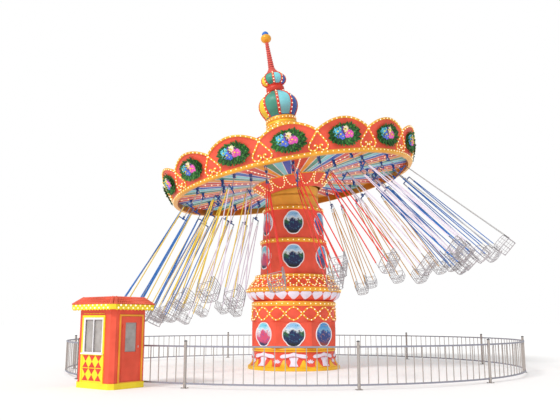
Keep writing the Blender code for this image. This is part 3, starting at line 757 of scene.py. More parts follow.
pictures, frames = Shape(), Shape()
for key, level, half, tall, copies in medallion["rows"]:
    plaque, uvs, border = medallionParts(key, tower[key], level, half, tall)
    for i in range(copies):
        turn = Matrix.Rotation(2 * pi * i / copies, 4, "Z")
        pictures.add(plaque, 2 if i == copies - 1 else i % 3, turn, uvs)
        frames.add(border, 0, turn)
addPiece("towerPictures", pictures.mesh("towerPictures"), list(medallion["views"]), "tower")
addPiece("towerPictureFrames", frames.mesh("towerPictureFrames"), [whitePaint], "tower")

# Rows of lamps on the bands: (height, radius, how many).
towerLamps = {"radius": 0.024, "rows": ((5.988, 1.186, 36), (4.742, 1.293, 40), (3.418, 1.483, 46), (3.335, 1.49, 46),
                                        (2.890, 1.819, 56), (2.382, 1.609, 48))}
spots = [p for height, radius, count in towerLamps["rows"] for p in circlePoints(radius + 0.004, height, count)]

# Crossing waves on the lattice ring.
wave = {"middle": 2.021, "swing": 0.226, "cycles": 8, "width": 0.056, "height": 0.030, "lampGap": 0.165}
waves = Shape()
for side in (-1, 1):
    steps = 288
    path = [onRound(tower["lattice"], 360 * i / steps,
                    wave["middle"] + side * wave["swing"] * cos(2 * pi * wave["cycles"] * i / steps), 0)
            for i in range(steps)]
    normals = [azimuth(360 * i / steps)[0] for i in range(steps)]
    waves.add(ridge(path, normals, wave["width"], wave["height"], True))
    spots += spaced([p + n * wave["height"] for p, n in zip(path, normals)], wave["lampGap"], True)
addPiece("latticeWaves", waves.mesh("latticeWaves"), [goldPaint], "tower")

# White petals hang under the crown's rim.
petal = {"count": 24, "top": 2.806, "bottom": 2.530, "half": 0.218}


def petalPlace(u, v, rise):
    height = petal["top"] + (petal["bottom"] - petal["top"]) * v
    width = petal["half"] * (0.74 + 0.26 * sin(pi / 2 * v / 0.28) if v < 0.28 else 1 - 0.84 * ((v - 0.28) / 0.72) ** 1.35)
    radius = profileRadius(tower["crown"], height)
    turn = degrees(u * width / radius)
    return onRound(tower["crown"], turn, height, rise)


addRing("crownPetals", Shape().add(pad(petalPlace, 9, 8, 0.016, 0.030)), petal["count"], lilacPaint, "tower")

# Two rows of gold arches cross on the red skirt above the rim.
arch = {"middle": 3.175, "swing": 0.150, "cycles": 14, "width": 0.046, "height": 0.026, "lampGap": 0.150}
arches, steps = Shape(), 336
for side in (-1, 1):
    path = [onRound(tower["crown"], 360 * i / steps,
                    arch["middle"] + side * arch["swing"] * cos(2 * pi * arch["cycles"] * i / steps), 0)
            for i in range(steps)]
    normals = [(azimuth(360 * i / steps)[0] + Vector((0, 0, 0.8))).normalized() for i in range(steps)]
    arches.add(ridge(path, normals, arch["width"], arch["height"], True))
    spots += spaced([p + n * arch["height"] for p, n in zip(path, normals)], arch["lampGap"], True)
addPiece("skirtArches", arches.mesh("skirtArches"), [goldPaint], "tower")
spots += circlePoints(profileRadius(tower["crown"], 3.025) + 0.012, 3.025, 48, 3.75)
addLamps("towerLamps", spots, towerLamps["radius"], "tower")

# Scrolls, waves and little fans round the flared foot.
foot = {"wingHalf": 0.50, "wingLow": 0.435, "wingTop": 0.600, "stemLow": 0.165, "stemHalf": 0.17}


def onFlare(across, height, rise):
    radius = profileRadius(tower["flare"], height)
    return onRound(tower["flare"], degrees(across / radius), height, rise)


def wingPlace(u, v, rise):
    reach = abs(u)
    top = foot["wingTop"] + 0.045 * (1 - min(reach * 3.2, 1)) - 0.02 * reach
    droop = foot["wingLow"] - 0.02 + 0.07 * (1 - reach) ** 0.7
    rounding = (1 - reach ** 6) ** 0.5
    middle = (top + droop) / 2 - 0.01 * reach
    return onFlare(u * foot["wingHalf"], middle + (v - 0.5) * (top - droop) * rounding, rise)


def stemPlace(u, v, rise):
    height = foot["stemLow"] + (0.47 - foot["stemLow"]) * v
    width = foot["stemHalf"] * (0.62 + 0.38 * abs(2 * v - 0.9) ** 1.3)
    return onFlare(u * width, height, rise)


def swellPlace(u, v, rise):
    share = (u + 1) / 2
    top = 0.150 + 0.27 * sin(pi * min(share * 1.25, 1)) ** 1.6 * (1 - 0.35 * share)
    return onFlare(0.20 + 0.40 * share, 0.12 + (top - 0.12) * v, rise)


def mirrored(place):
    return lambda u, v, rise: Matrix.Scale(-1, 4, Vector((1, 0, 0))) @ place(u, v, rise)


scrolls = Shape().add(pad(stemPlace, 8, 8, 0.018, 0.022)).add(pad(wingPlace, 6, 24, 0.026, 0.020))
addRing("footScrolls", scrolls, 8, lilacPaint, "tower")
swells = Shape().add(pad(swellPlace, 5, 16, 0.012, 0.016)).add(pad(mirrored(swellPlace), 5, 16, 0.012, 0.016))
addRing("footSwells", swells, 8, footGold, "tower")
curl = [onFlare(0.285 * (i / 12 - 1), 0.430 + 0.075 * (1 - (i / 12 - 1) ** 2) - 0.02 * abs(i / 12 - 1), 0)
        for i in range(25)]
curlNormals = [azimuth(10 * (i / 12 - 1))[0] for i in range(25)]
addRing("footCurls", Shape().add(ridge(curl, curlNormals, 0.020, 0.056)), 8, deepRed, "tower")
fans = Shape()
for k in range(5):
    tilt = radians(-56 + 28 * k)

    def fanPlace(u, v, rise, tilt=tilt):
        along = 0.03 + 0.125 * v
        width = 0.026 * sin(pi * min(0.12 + v * 0.8, 1)) * u
        return onFlare(sin(tilt) * along + cos(tilt) * width, 0.25 + cos(tilt) * along - sin(tilt) * width, rise)

    fans.add(pad(fanPlace, 4, 2, 0.012, 0.010))
addRing("footFans", fans, 8, lilacPaint, "tower", first=22.5)
print("tower done")


# Canopy: a ring of leaning scalloped panels over a rounded rim.

canopy = {"rim": 4.687, "thick": 0.120, "lean": 0.315, "valley": 0.807, "peak": 1.139, "sheet": 0.060,
          "steps": 24, "trim": 0.075, "trimHeight": 0.034}
panelNormal = Vector((1, 0, -canopy["lean"])).normalized()


def scallop(share):
    share = (share + 0.5) % 1.0 - 0.5
    return canopy["valley"] + (canopy["peak"] - canopy["valley"]) * max(cos(pi * share), 0.0) ** 0.83


def onPanel(turn, height, rise=0.0):  # a point on the outer face of the panels
    out, _ = azimuth(turn)
    radius = canopy["rim"] + canopy["lean"] * height + panelNormal.x * rise
    return out * radius + Vector((0, 0, height + panelNormal.z * rise))


def panelUp(turn):
    return azimuth(turn)[0] * panelNormal.x + Vector((0, 0, panelNormal.z))


def beside(centre, across, height):  # the azimuth of a point so far to the right of a panel's middle
    return centre + degrees(across / (canopy["rim"] + canopy["lean"] * height))


shell, count = Shape(), rotor["panels"] * canopy["steps"]
points = []
for i in range(count):
    out, _ = azimuth(rotor["panelTurn"] + 360 * i / count)
    top = scallop(i / canopy["steps"])
    reach, inner = canopy["rim"] + canopy["lean"] * top, canopy["rim"] - canopy["thick"]
    outline = [(canopy["rim"] - 0.05, 0.0), (canopy["rim"], 0.0), (canopy["rim"] + 0.028, 0.012),
               (canopy["rim"] + 0.044, 0.036), (canopy["rim"] + 0.048, 0.068), (canopy["rim"] + 0.044, 0.102),
               (canopy["rim"] + 0.040, 0.130), (reach - 0.004, top - 0.01), (reach - 0.012, top),
               (reach - canopy["sheet"] + 0.008, top), (reach - canopy["sheet"], top - 0.01), (inner, 0.36),
               (inner, 0.008), (inner + 0.008, 0.0)]
    points += [out * r + Vector((0, 0, z)) for r, z in outline]
rows = len(outline)
# finish 3, the rim's inner faces, is the darker gold as painted shade
bandMarks = [0, 0, 0, 0, 0, 0, 1, 0, 0, 0, 2, 3, 3, 0]
faces = gridFaces(count, rows)
last = (count - 1) * rows
faces += [(last + k, last + (k + 1) % rows, (k + 1) % rows, k) for k in range(rows)]
shell.add((points, faces), bandMarks * count)
addPiece("canopyPanels", shell.mesh("canopyPanels", rotorPlace), [goldPaint, coralPaint, deepRed, shadedGold], "rotor",
         ["canopy_ring"])

# The gold edging of one panel, with its lamps.
edge = []
for i in range(49):
    share = i / 48 - 0.5
    turn = rotor["panelTurn"] + share * 360 / rotor["panels"]
    slope = (scallop(share + 0.01) - scallop(share - 0.01)) / (0.02 * 1.9)
    if abs(share) > 0.492:
        slope = 0
    drop = 0.5 * canopy["trim"] * min(hypot(1, slope), 2.0)
    edge.append((turn, scallop(share) - drop + 0.012))
path = [onPanel(*spot) for spot in edge]
normals = [panelUp(turn) for turn, _ in edge]
trims = Shape().add(ridge(path, normals, canopy["trim"], canopy["trimHeight"]))
lampSpots = spaced([p + n * canopy["trimHeight"] for p, n in zip(path, normals)], 0.185, margin=0.07)
lift = canopy["trimHeight"]

# A gold heart hangs from each valley and ends in two scrolls.
heart = {"width": 0.060, "height": 0.030, "lampGap": 0.135,
         "half": ((0.0, 0.770), (0.050, 0.690), (0.120, 0.600), (0.205, 0.490), (0.288, 0.385), (0.326, 0.300),
                  (0.312, 0.215), (0.240, 0.160), (0.155, 0.150), (0.078, 0.186), (0.040, 0.250), (0.070, 0.308),
                  (0.122, 0.312), (0.140, 0.266))}
valley = rotor["panelTurn"] + 180 / rotor["panels"]
for side in (-1, 1):
    knots = smoothPath(heart["half"], 5)
    spotsHere = [(beside(valley, side * s, t), t) for s, t in knots]
    path = [onPanel(*spot) for spot in spotsHere]
    normals = [panelUp(turn) for turn, _ in spotsHere]
    trims.add(ridge(path, normals, heart["width"], heart["height"]))
    lampSpots += spaced([p + n * heart["height"] for p, n in zip(path, normals)], heart["lampGap"], margin=0.05)
addRing("canopyTrims", trims, rotor["panels"], goldPaint, "rotor", place=rotorPlace)
lampSpots = ringPoints(lampSpots, rotor["panels"])
lampSpots += circlePoints(canopy["rim"] + 0.046, 0.078, 152)
addLamps("canopyLamps", lampSpots, 0.023, "rotor", rotorPlace)

# An oval wreath of leaves with raised blossoms on each panel.
wreath = {"level": 0.575, "half": 0.560, "tall": 0.340, "leaves": 120}


def onWreath(u, v, rise):
    height = wreath["level"] + v * wreath["tall"] / 1.048
    return onPanel(beside(rotor["panelTurn"], u * wreath["half"], height), height, rise)


plaque = Shape()
points = []
for share, rise in ((1.0, -0.004), (0.98, 0.035), (0.75, 0.060), (0.45, 0.075)):
    for i in range(40):
        ripple = 1 + 0.035 * sin(i * 2 * pi / 40 * 9) + 0.03 * sin(i * 2 * pi / 40 * 5 + 1)
        angle = 2 * pi * i / 40
        points.append(onWreath(share * ripple * sin(angle), share * ripple * cos(angle), rise))
points.append(onWreath(0, 0, 0.080))
faces = gridFaces(4, 40) + [(120 + k, 120 + (k + 1) % 40, 160) for k in range(40)] + [tuple(range(40))]
addRing("wreathPlaques", plaque.add((points, faces)), rotor["panels"], leafDark, "rotor", place=rotorPlace)


def facing(turn, twist, nod=0.0):  # Euler angles that lay a flat template on the panel
    out, along = azimuth(turn)
    up = panelUp(turn)
    side = along
    top = up.cross(side)
    base = Matrix((side, top, up)).transposed()
    return (base @ Matrix.Rotation(twist, 3, "Z") @ Matrix.Rotation(nod, 3, "X")).to_euler()


def leafShape(long, wide, rise):  # a keeled leaf from the origin along +Y
    rows, points = 5, []
    for i in range(rows):
        v = i / (rows - 1)
        width = wide * sin(pi * min(0.06 + 0.94 * v, 1)) ** 0.8
        points += [Vector((-width, long * v, 0)), Vector((0, long * v, rise * sin(pi * v) + 0.004)),
                   Vector((width, long * v, 0)), Vector((0, long * v, -0.006))]
    faces = gridFaces(rows, 4) + [(0, 1, 2, 3), tuple(range(16, 20))]
    return points, faces


def blossomShape(petals, size, cup):  # rounded petals round a raised heart
    shape = Shape()
    for i in range(petals):
        turn = Matrix.Rotation(2 * pi * i / petals, 4, "Z") @ Matrix.Rotation(-cup, 4, "X")

        def place(u, v, rise):
            width = size * 0.42 * (sin(pi * min(v * 0.86 + 0.08, 1))) ** 0.6
            return Vector((u * width, size * (0.10 + 0.9 * v), rise + 0.12 * size * v * v))

        points, faces = pad(place, 4, 4, 0.008, 0.02)
        shape.add((points, faces), 0, turn)
    return shape


seedState = 11
def nextShare():  # a fixed run of scattered numbers
    global seedState
    seedState = (seedState * 1103515245 + 12345) % 2147483648
    return seedState / 2147483648


def scattered(shape, finish, places, name):  # on one panel, then round all of them
    holder = asTemplate(shape, 60)
    turns = [tuple(facing(turn, twist, nod)) for _, turn, twist, nod, _ in places]
    mesh = grown(name, scatter, {"Template": holder, "Copy Size": 1.0, "Finish": finish}, [p[0] for p in places],
                 turns, [p[4] for p in places], 50)
    bpy.data.objects.remove(holder)
    mesh.materials.clear()
    return addRing(name, mesh, rotor["panels"], finish, "rotor", place=rotorPlace, sharp=50)


leafPlaces = []
for i in range(wreath["leaves"]):
    angle, share = 2 * pi * i * 0.381966, 0.30 + 0.66 * (i / wreath["leaves"]) ** 0.5
    u, v = share * sin(angle), share * cos(angle)
    spot = onWreath(u, v, 0.075 - 0.045 * share)
    leafPlaces.append((spot, rotor["panelTurn"], -angle + 0.9 * (nextShare() - 0.5), 0.25 + 0.5 * nextShare(),
                       0.8 + 0.5 * nextShare()))
scattered(Shape().add(leafShape(0.115, 0.034, 0.012)), leafDark, leafPlaces[::2], "wreathLeavesDark")
scattered(Shape().add(leafShape(0.105, 0.032, 0.012)), leafLight, leafPlaces[1::2], "wreathLeavesLight")
blossoms = {  # across, up, size, of each colour, in shares of the wreath
    "blossomsSky": (petalSky, ((-0.52, 0.30, 0.95), (-0.36, 0.50, 0.6), (-0.60, 0.02, 0.5))),
    "blossomsBlue": (petalBlue, ((-0.34, 0.02, 1.05), (-0.20, -0.22, 0.7), (-0.46, -0.14, 0.5))),
    "blossomsPink": (petalPink, ((0.20, 0.08, 1.1), (0.38, -0.02, 0.75), (0.10, -0.12, 0.6))),
    "blossomsCream": (petalCream, ((0.02, 0.46, 0.95), (0.06, 0.24, 0.6))),
    "blossomsViolet": (petalViolet, ((-0.14, 0.50, 0.7), (-0.10, 0.22, 0.65), (0.22, 0.40, 0.5))),
}
for name, (finish, spotsHere) in blossoms.items():
    places = [(onWreath(u, v, 0.085), beside(rotor["panelTurn"], u * wreath["half"], 0.5), 2 * nextShare(), 0.0, size)
              for u, v, size in spotsHere]
    scattered(blossomShape(6, 0.155, 0.30), finish, places, name)
hearts = [(onWreath(u, v, 0.110), 0, 0, 0, 0.032 * size) for _, (f, s) in blossoms.items() for u, v, size in s]
eyes = Shape()
for spot, _, _, _, size in hearts:
    eyes.add(ball(spot, size, 8, 4, 0.8))
addRing("blossomHearts", eyes, rotor["panels"], yellowPaint, "rotor", place=rotorPlace)
print("canopy done")

# Ceiling: painted stripes, lamps and the hangers' brackets.

ceiling = {"low": 0.240, "thick": 0.050, "inner": 1.400, "divider": 0.030, "stripe": 5.0,
           "order": (0, 0, 1, 2, 3, 4)}
outer = canopy["rim"] - canopy["thick"] - gap
columns = 144
disc, marks = turned([(ceiling["inner"], ceiling["low"]), (outer, ceiling["low"]),
                      (outer, ceiling["low"] + ceiling["thick"]), (ceiling["inner"], ceiling["low"] + ceiling["thick"])],
                     columns, rotor["panelTurn"]), []
# the disc's edges and top (mark 5) take the darker gold as painted shade
for band in range(4):
    marks += [ceiling["order"][(i // 2) % 6] if band == 0 else 5 for i in range(columns)]
addPiece("ceilingStripes", Shape().add(disc, marks).mesh("ceilingStripes", rotorPlace),
         [stripeRed, orangePaint, greenPaint, cyanPaint, bluePaint, shadedGold], "rotor", ["ceiling_frame"])
half = ceiling["divider"] / 2
divider = Shape().add(block((-half, -outer + 0.004, ceiling["low"] - 0.012), (half, -1.545, ceiling["low"] + 0.004), 0.003))
addRing("ceilingDividers", divider, 72, creamPaint, "rotor", first=rotor["panelTurn"], place=rotorPlace)
lampRow = [azimuth(rotor["panelTurn"] + 5)[0] * (1.80 + 0.26 * i) + Vector((0, 0, ceiling["low"] - 0.014))
           for i in range(11)]
addLamps("ceilingLamps", ringPoints(lampRow, 12), 0.028, "rotor", rotorPlace)

bracket = {"pinLevel": 0.040, "gap": 0.021, "plate": 0.016, "boss": 0.062, "cap": 0.034, "pin": 0.016, "trail": 10.1}
rows = (("outer", 4.070, 0.0, 40.1, 5.090), ("middle", 3.590, 15.0, 36.3, 4.880), ("inner", 3.010, 0.0, 36.1, 5.150))


def across(profile, sides, level):  # a turned part with its axis along X, centred at a height
    points, faces = turned(profile, sides)
    turn = Matrix.Translation((0, 0, level)) @ Matrix.Rotation(pi / 2, 4, "Y")
    return [turn @ p for p in points], faces


fork, caps = Shape(), Shape()
for side in (-1, 1):
    near, far = side * bracket["gap"], side * (bracket["gap"] + bracket["plate"])
    outline = [(-0.046, ceiling["low"]), (0.046, ceiling["low"]), (0.024, bracket["pinLevel"] + 0.06),
               (0.024, bracket["pinLevel"] + 0.02), (-0.024, bracket["pinLevel"] + 0.02),
               (-0.024, bracket["pinLevel"] + 0.06)]
    points = [Vector((x, y, z)) for x in (near, far) for y, z in outline]
    fork.add((points, gridFaces(2, 6) + [tuple(range(6)), tuple(range(6, 12))]))
    lo, hi = sorted((near, far + side * 0.006))
    fork.add(across([(0, lo), (bracket["boss"] - 0.006, lo), (bracket["boss"], lo + 0.006),
                     (bracket["boss"], hi - 0.006), (bracket["boss"] - 0.006, hi), (0, hi)], 24, bracket["pinLevel"]))
    lo, hi = sorted((far, far + side * 0.020))
    caps.add(across([(0, lo), (bracket["cap"], lo), (bracket["cap"], hi - 0.004), (bracket["cap"] * 0.8, hi), (0, hi)],
                    18, bracket["pinLevel"]))
fork.add(block((-0.055, -0.085, ceiling["low"] - 0.012), (0.055, 0.085, ceiling["low"]), 0.004))
for x in (-0.04, 0.04):
    for y in (-0.068, 0.068):
        caps.add(prism([(x + 0.009 * cos(pi / 3 * k), y + 0.009 * sin(pi / 3 * k)) for k in range(6)],
                       ceiling["low"] - 0.022, ceiling["low"] - 0.011))
caps.add(across([(0, -bracket["gap"]), (bracket["pin"], -bracket["gap"]), (bracket["pin"], bracket["gap"]),
                 (0, bracket["gap"])], 16, bracket["pinLevel"]))
forks, forkCaps = Shape(), Shape()
for _, radius, start, _, _ in rows:
    for i in range(12):
        place = start + 30 * i
        turn = Matrix.Translation(azimuth(place)[0] * radius) @ Matrix.Rotation(radians(place + bracket["trail"]), 4, "Z")
        forks.add((fork.points, fork.faces), 0, turn)
        forkCaps.add((caps.points, caps.faces), 0, turn)
addPiece("hangerBrackets", forks.mesh("hangerBrackets", rotorPlace), [hangerBlue], "rotor")
addPiece("bracketCaps", forkCaps.mesh("bracketCaps", rotorPlace), [whiteMetal], "rotor")

# Tapered hub with its hanging loops.
hub = {"outer": 1.540, "inner": 1.380, "shoulder": 0.200, "foot": 1.095, "hole": 1.045, "low": -0.200, "high": 0.2397}
drum = [(hub["hole"], hub["low"] + 0.008), (hub["hole"] + 0.008, hub["low"]), (hub["foot"] - 0.012, hub["low"]),
        (hub["foot"] - 0.003, hub["low"] + 0.004), (hub["foot"] + 0.010, hub["low"] + 0.018),
        (hub["outer"], hub["shoulder"]), (hub["outer"], hub["high"]), (hub["inner"], hub["high"]),
        (hub["inner"], hub["shoulder"])]
# the hub's underside, top and hollow (mark 1) take the darker gold as painted shade
drumMarks = [mark for mark in (1, 1, 0, 0, 0, 0, 1, 1, 1) for _ in range(128)]


def onHub(turn, height, rise=0.0):
    slope = (hub["outer"] - hub["foot"]) / (hub["shoulder"] - hub["low"])
    radius = min(hub["outer"], hub["foot"] + slope * (height - hub["low"]))
    down = slope / hypot(1, slope) if height < hub["shoulder"] - 0.02 else 0.0
    out = azimuth(turn)[0]
    normal = (out * hypot(1 - down * down, 0) ** 0.5 - Vector((0, 0, down))).normalized()
    return out * radius + Vector((0, 0, height)) + normal * rise, normal


addPiece("hubDrumShell", Shape().add(turned(drum, 128), drumMarks).mesh("hubDrumShell", rotorPlace),
         [coralPaint, shadedGold], "rotor", ["hub_drum"])
loop = {"copies": 16, "half": 9.75, "top": 0.185, "drop": 0.290, "width": 0.042, "height": 0.026}
path, normals = [], []
for i in range(33):
    angle = pi * i / 32
    turn, t = -loop["half"] * cos(angle), loop["top"] - loop["drop"] * max(sin(angle), 0) ** 0.8
    spot, normal = onHub(turn, t)
    path.append(spot)
    normals.append(normal)
loops = Shape().add(ridge(path, normals, loop["width"], loop["height"]))
knob = azimuth(360 / loop["copies"] / 2)[0] * (hub["outer"] + 0.012) + Vector((0, 0, loop["top"] + 0.012))
loops.add(ball(knob, 0.052, 12, 8))
addRing("hubLoops", loops, loop["copies"], goldPaint, "rotor", place=rotorPlace)
lampSpots = spaced([p + n * loop["height"] for p, n in zip(path, normals)], 0.115, margin=0.05)
lampSpots.append(knob + (knob - Vector((0, 0, knob.z))).normalized() * 0.05)
addLamps("hubLamps", ringPoints(lampSpots, loop["copies"]), 0.025, "rotor", rotorPlace)
moulding = [(1.545, 0.205), (1.575, 0.212), (1.585, 0.228), (1.575, 0.2395), (1.541, 0.2395), (1.541, 0.205)]
addPiece("hubMoulding", Shape().add(turned(moulding, 128)).mesh("hubMoulding", rotorPlace), [goldPaint], "rotor")

# Plain neck column under the hub; its gold is painted lighter to make up for the canopy's shadow.
neck = {"radius": 0.977, "low": 6.0603, "top": 6.560}
column = [(0, neck["low"]), (neck["radius"] + 0.05, neck["low"]), (neck["radius"] + 0.05, neck["low"] + 0.03),
          (neck["radius"], neck["low"] + 0.06), (neck["radius"], neck["top"]), (0, neck["top"])]
neckShape = Shape().add(turned(column, 96))
sleeve = [(0.900, 6.500), (neck["radius"], 6.500), (neck["radius"], 6.885), (neck["radius"] - 0.010, 6.895),
          (0.910, 6.895), (0.900, 6.885)]
neckShape.add(turned(sleeve, 96))
for side in (-1, 1):
    middle = side * 0.850
    low, high = sorted((middle - 0.035, middle + 0.035))
    neckShape.add(block((-0.10, low, neck["top"] - 0.03), (0.10, high, neck["top"] + 0.47), 0.008))
    pin = across([(0, -0.16), (0.050, -0.16), (0.050, 0.16), (0, 0.16)], 20, 0)
    turn = Matrix.Translation((0, side * 0.73, rotor["pivot"])) @ Matrix.Rotation(pi / 2, 4, "Z")
    neckShape.add(pin, 1, turn)
addPiece("neckColumn", neckShape.mesh("neckColumn"), [litNeckGold, steelDark], "tower", ["neck_column"])

# Roof, onion domes and spire.

roof = {"edge": (4.480, 0.600), "top": (0.690, 2.330), "opening": 0.500, "thick": 0.050, "ribs": 48}
floor = ceiling["low"] + ceiling["thick"] + gap
(e, level), (inner, peak), thick = roof["edge"], roof["top"], roof["thick"]
cone = [(e - thick, floor), (e, floor), (e, level - 0.02), (e - 0.02, level), (inner, peak), (roof["opening"], peak),
        (roof["opening"], peak - thick), (inner - thick, peak - thick * 1.1), (e - thick, level - thick * 0.6)]
addPiece("roofShell", Shape().add(turned(cone, 144)).mesh("roofShell", rotorPlace), [roofRed], "rotor",
         ["roof_cone"])
ribPath = [Vector((0, -e + 0.03 + (e - inner - 0.06) * i / 12, level + (peak - level) * i / 12 * 0.985)) for i in range(13)]
ribNormal = Vector((0, -(peak - level), e - inner)).normalized()
addRing("roofSeams", Shape().add(ridge(ribPath, [ribNormal] * 13, 0.034, 0.030)), roof["ribs"], deepRed, "rotor",
        place=rotorPlace)
seat = Shape().add(turned([(0.66, 2.331), (0.80, 2.290), (0.84, 2.300), (0.82, 2.350), (0.70, 2.380), (0.651, 2.380)], 96))
addPiece("roofCollar", seat.mesh("roofCollar", rotorPlace), [goldPaint], "rotor")

dome = {
    "collar": [(0.0, 2.3303), (0.590, 2.3303), (0.590, 2.400), (0.635, 2.412), (0.650, 2.435), (0.650, 2.622),
               (0.636, 2.640), (0.606, 2.664), (0.600, 2.700), (0.618, 2.724), (0.622, 2.800), (0.616, 2.866),
               (0.604, 2.886), (0.592, 2.896), (0.592, 2.914), (0.590, 2.935), (0.0, 2.935)],
    "belly": ((0.572, 2.935), (0.628, 3.040), (0.694, 3.160), (0.742, 3.290), (0.764, 3.430), (0.754, 3.560),
              (0.708, 3.690), (0.622, 3.800), (0.510, 3.890), (0.400, 3.960), (0.322, 4.020)),
    "torus": [(0.300, 4.020), (0.318, 4.034), (0.348, 4.062), (0.366, 4.108), (0.371, 4.160), (0.366, 4.214),
              (0.344, 4.258), (0.316, 4.284), (0.330, 4.298), (0.330, 4.330), (0.300, 4.330)],
    "little": ((0.310, 4.330), (0.384, 4.370), (0.450, 4.440), (0.480, 4.530), (0.474, 4.630), (0.424, 4.720),
               (0.340, 4.785), (0.270, 4.810)),
    "gores": (0, 1, 2, 3),
}


def domeShell(knots, steps, sides=96):
    profile = [tuple(p) for p in smoothPath(knots, steps)]
    part = turned([(0, profile[0][1])] + profile + [(0, profile[-1][1])], sides)
    marks = []
    for face in part[1]:
        middle = sum((part[0][i] for i in face), Vector()) / len(face)
        turn = degrees(atan2(middle.x, -middle.y)) % 360
        marks.append(dome["gores"][int(turn // 45) % 4])
    return part, marks, profile


addPiece("domeCollar", Shape().add(turned(dome["collar"], 96),
         [m for m in (0, 0, 1, 1, 1, 1, 1, 0, 1, 1, 1, 1, 1, 2, 2, 2) for _ in range(96)] + [0] * 96)
         .mesh("domeCollar", rotorPlace), [yellowPaint, goldPaint, slatePaint], "rotor", ["onion_dome"])
shell = Shape()
bellyPart, marks, belly = domeShell(dome["belly"], 5)
shell.add(bellyPart, marks)
littlePart, marks, little = domeShell(dome["little"], 5)
shell.add(littlePart, marks)
addPiece("domeGores", shell.mesh("domeGores", rotorPlace), [cyanPaint, bluePaint, yellowPaint, greenPaint], "rotor")
ribs, lampSpots = Shape(), []
for profile, width, gapHere, first in ((belly, 0.105, 0.165, 0.10), (little, 0.085, 0.125, 0.12)):
    path = [Vector((0, -r, z)) for r, z in profile]
    normals = []
    for i in range(len(path)):
        a, b = path[max(i - 1, 0)], path[min(i + 1, len(path) - 1)]
        normals.append((b - a).normalized().cross(Vector((1, 0, 0))).normalized())
        if normals[-1].y > 0:
            normals[-1].negate()
    ribs.add(ridge(path, normals, width, 0.035))
    lampSpots += spaced([p + n * 0.035 for p, n in zip(path, normals)], gapHere, margin=first)
addRing("domeRibs", ribs, 8, stripeRed, "rotor", place=rotorPlace)
lampSpots = ringPoints(lampSpots, 8) + circlePoints(0.652, 2.530, 26) + circlePoints(0.624, 2.795, 26, 7)
addLamps("domeLamps", lampSpots, 0.026, "rotor", rotorPlace)
addPiece("domeTorus", Shape().add(turned([(0, 4.020)] + dome["torus"][1:-1] + [(0, 4.330)], 72)).mesh(
    "domeTorus", rotorPlace), [deepRed], "rotor")

spire = {"rings": 12, "low": 5.04, "top": 6.22}
profile = [(0, 4.8103), (0.270, 4.8103)]
for i in range(4):
    z = 4.816 + 0.055 * i
    r = 0.268 - 0.036 * i
    profile += [(r, z), (r + 0.008, z + 0.018), (r, z + 0.038), (r - 0.028, z + 0.048)]
for i in range(spire["rings"]):
    share = i / spire["rings"]
    z, step = spire["low"] + (spire["top"] - spire["low"]) * share, (spire["top"] - spire["low"]) / spire["rings"]
    r = 0.136 - 0.062 * share ** 0.7
    profile += [(r - 0.018, z), (r, z + step * 0.16), (r, z + step * 0.54), (r - 0.018, z + step * 0.70)]
profile += [(0.065, 6.235), (0, 6.24)]
grooves = []
for i in range(len(profile) - 1):
    ringStep = i - 2 if i < 18 else i - 18
    grooves += [1 if i > 1 and ringStep % 4 > 1 and i < len(profile) - 3 else 0] * 48
addPiece("spireShaft", Shape().add(turned(profile, 48), grooves).mesh("spireShaft", rotorPlace),
         [spireRed, grooveRed], "rotor", ["spire"])
finial = Shape()
ballProfile = [(0, 6.222)] + [(0.215 * sin(pi * i / 16), 6.410 - 0.190 * cos(pi * i / 16)) for i in range(2, 15)]
finial.add(turned(ballProfile + [(0, 6.590)], 48))
addPiece("spireBall", finial.mesh("spireBall", rotorPlace), [goldPaint], "rotor")
tip = [(0, 6.560), (0.122, 6.560), (0.136, 6.590), (0.134, 6.630), (0.108, 6.675), (0.062, 6.712), (0, 6.729)]
addPiece("spireTip", Shape().add(turned(tip, 48)).mesh("spireTip", rotorPlace), [tipBlue], "rotor")
print("rotor done")


# Thirty-six hanging chairs.

chair = {"eye": 0.040, "eyeWidth": 0.030, "rod": 0.0175, "rodEnd": -0.600, "spread": 0.400, "spreadLevel": -0.650,
         "chainTop": 0.185, "sleeve": 0.0185, "wide": 0.265, "deep": 0.205, "wire": 0.010, "slat": 0.0065}


def ringBand(radius, wire, sides=16, around=6):  # a torus in the XZ plane
    path = [Vector((radius * sin(2 * pi * i / sides), 0, -radius * cos(2 * pi * i / sides))) for i in range(sides)]
    return tube(path, wire, around, closed=True)


def chairHanger():  # pinned eye, rod, clevis and spreader, by finish: 0 steel, 1 blue, 2 pale
    shape = Shape()
    half = chair["eyeWidth"] / 2
    eye = across([(0.0185, -half), (chair["eye"] - 0.004, -half), (chair["eye"], -half + 0.004),
                  (chair["eye"], half - 0.004), (chair["eye"] - 0.004, half), (0.0185, half)], 16, 0)
    shape.add(eye, 1)
    shape.add(turned([(0, -0.032), (0.022, -0.032), (0.022, -0.085), (chair["rod"], -0.105), (0, -0.105)], 10), 1)
    shape.add(turned([(0, -0.09), (chair["rod"], -0.09), (chair["rod"], chair["rodEnd"]), (0, chair["rodEnd"])], 10), 2)
    level = chair["spreadLevel"]
    shape.add(turned([(0, -0.575), (0.024, -0.575), (0.030, -0.590), (0.030, -0.618), (0, -0.618)], 12), 1)
    shape.add(block((-0.030, -0.024, level - 0.034), (0.030, 0.024, level + 0.040), 0.006), 1)
    shape.add(across([(0, -0.034), (0.050, -0.034), (0.050, 0.034), (0, 0.034)], 16, -0.585), 1)
    for side in (-1, 1):
        low, high = sorted((side * 0.034, side * 0.040))
        shape.add(across([(0, low), (0.027, low), (0.027, high), (0, high)], 12, -0.585), 2)
    half = chair["spread"] / 2
    shape.add(block((-half, -0.018, level - 0.020), (half, 0.018, level + 0.020), 0.005), 1)
    for side in (-1, 1):
        shape.add(turned([(0, level + 0.020), (0.012, level + 0.020), (0.012, level + 0.030), (0, level + 0.030)], 6), 0,
                  Matrix.Translation((side * 0.12, 0, 0)))
        for along in (-1, 1):
            place = Matrix.Translation((side * chair["chainTop"], along * 0.020, level - 0.018))
            shape.add(ringBand(0.018, 0.005, 8, 4), 0, place)
    return shape


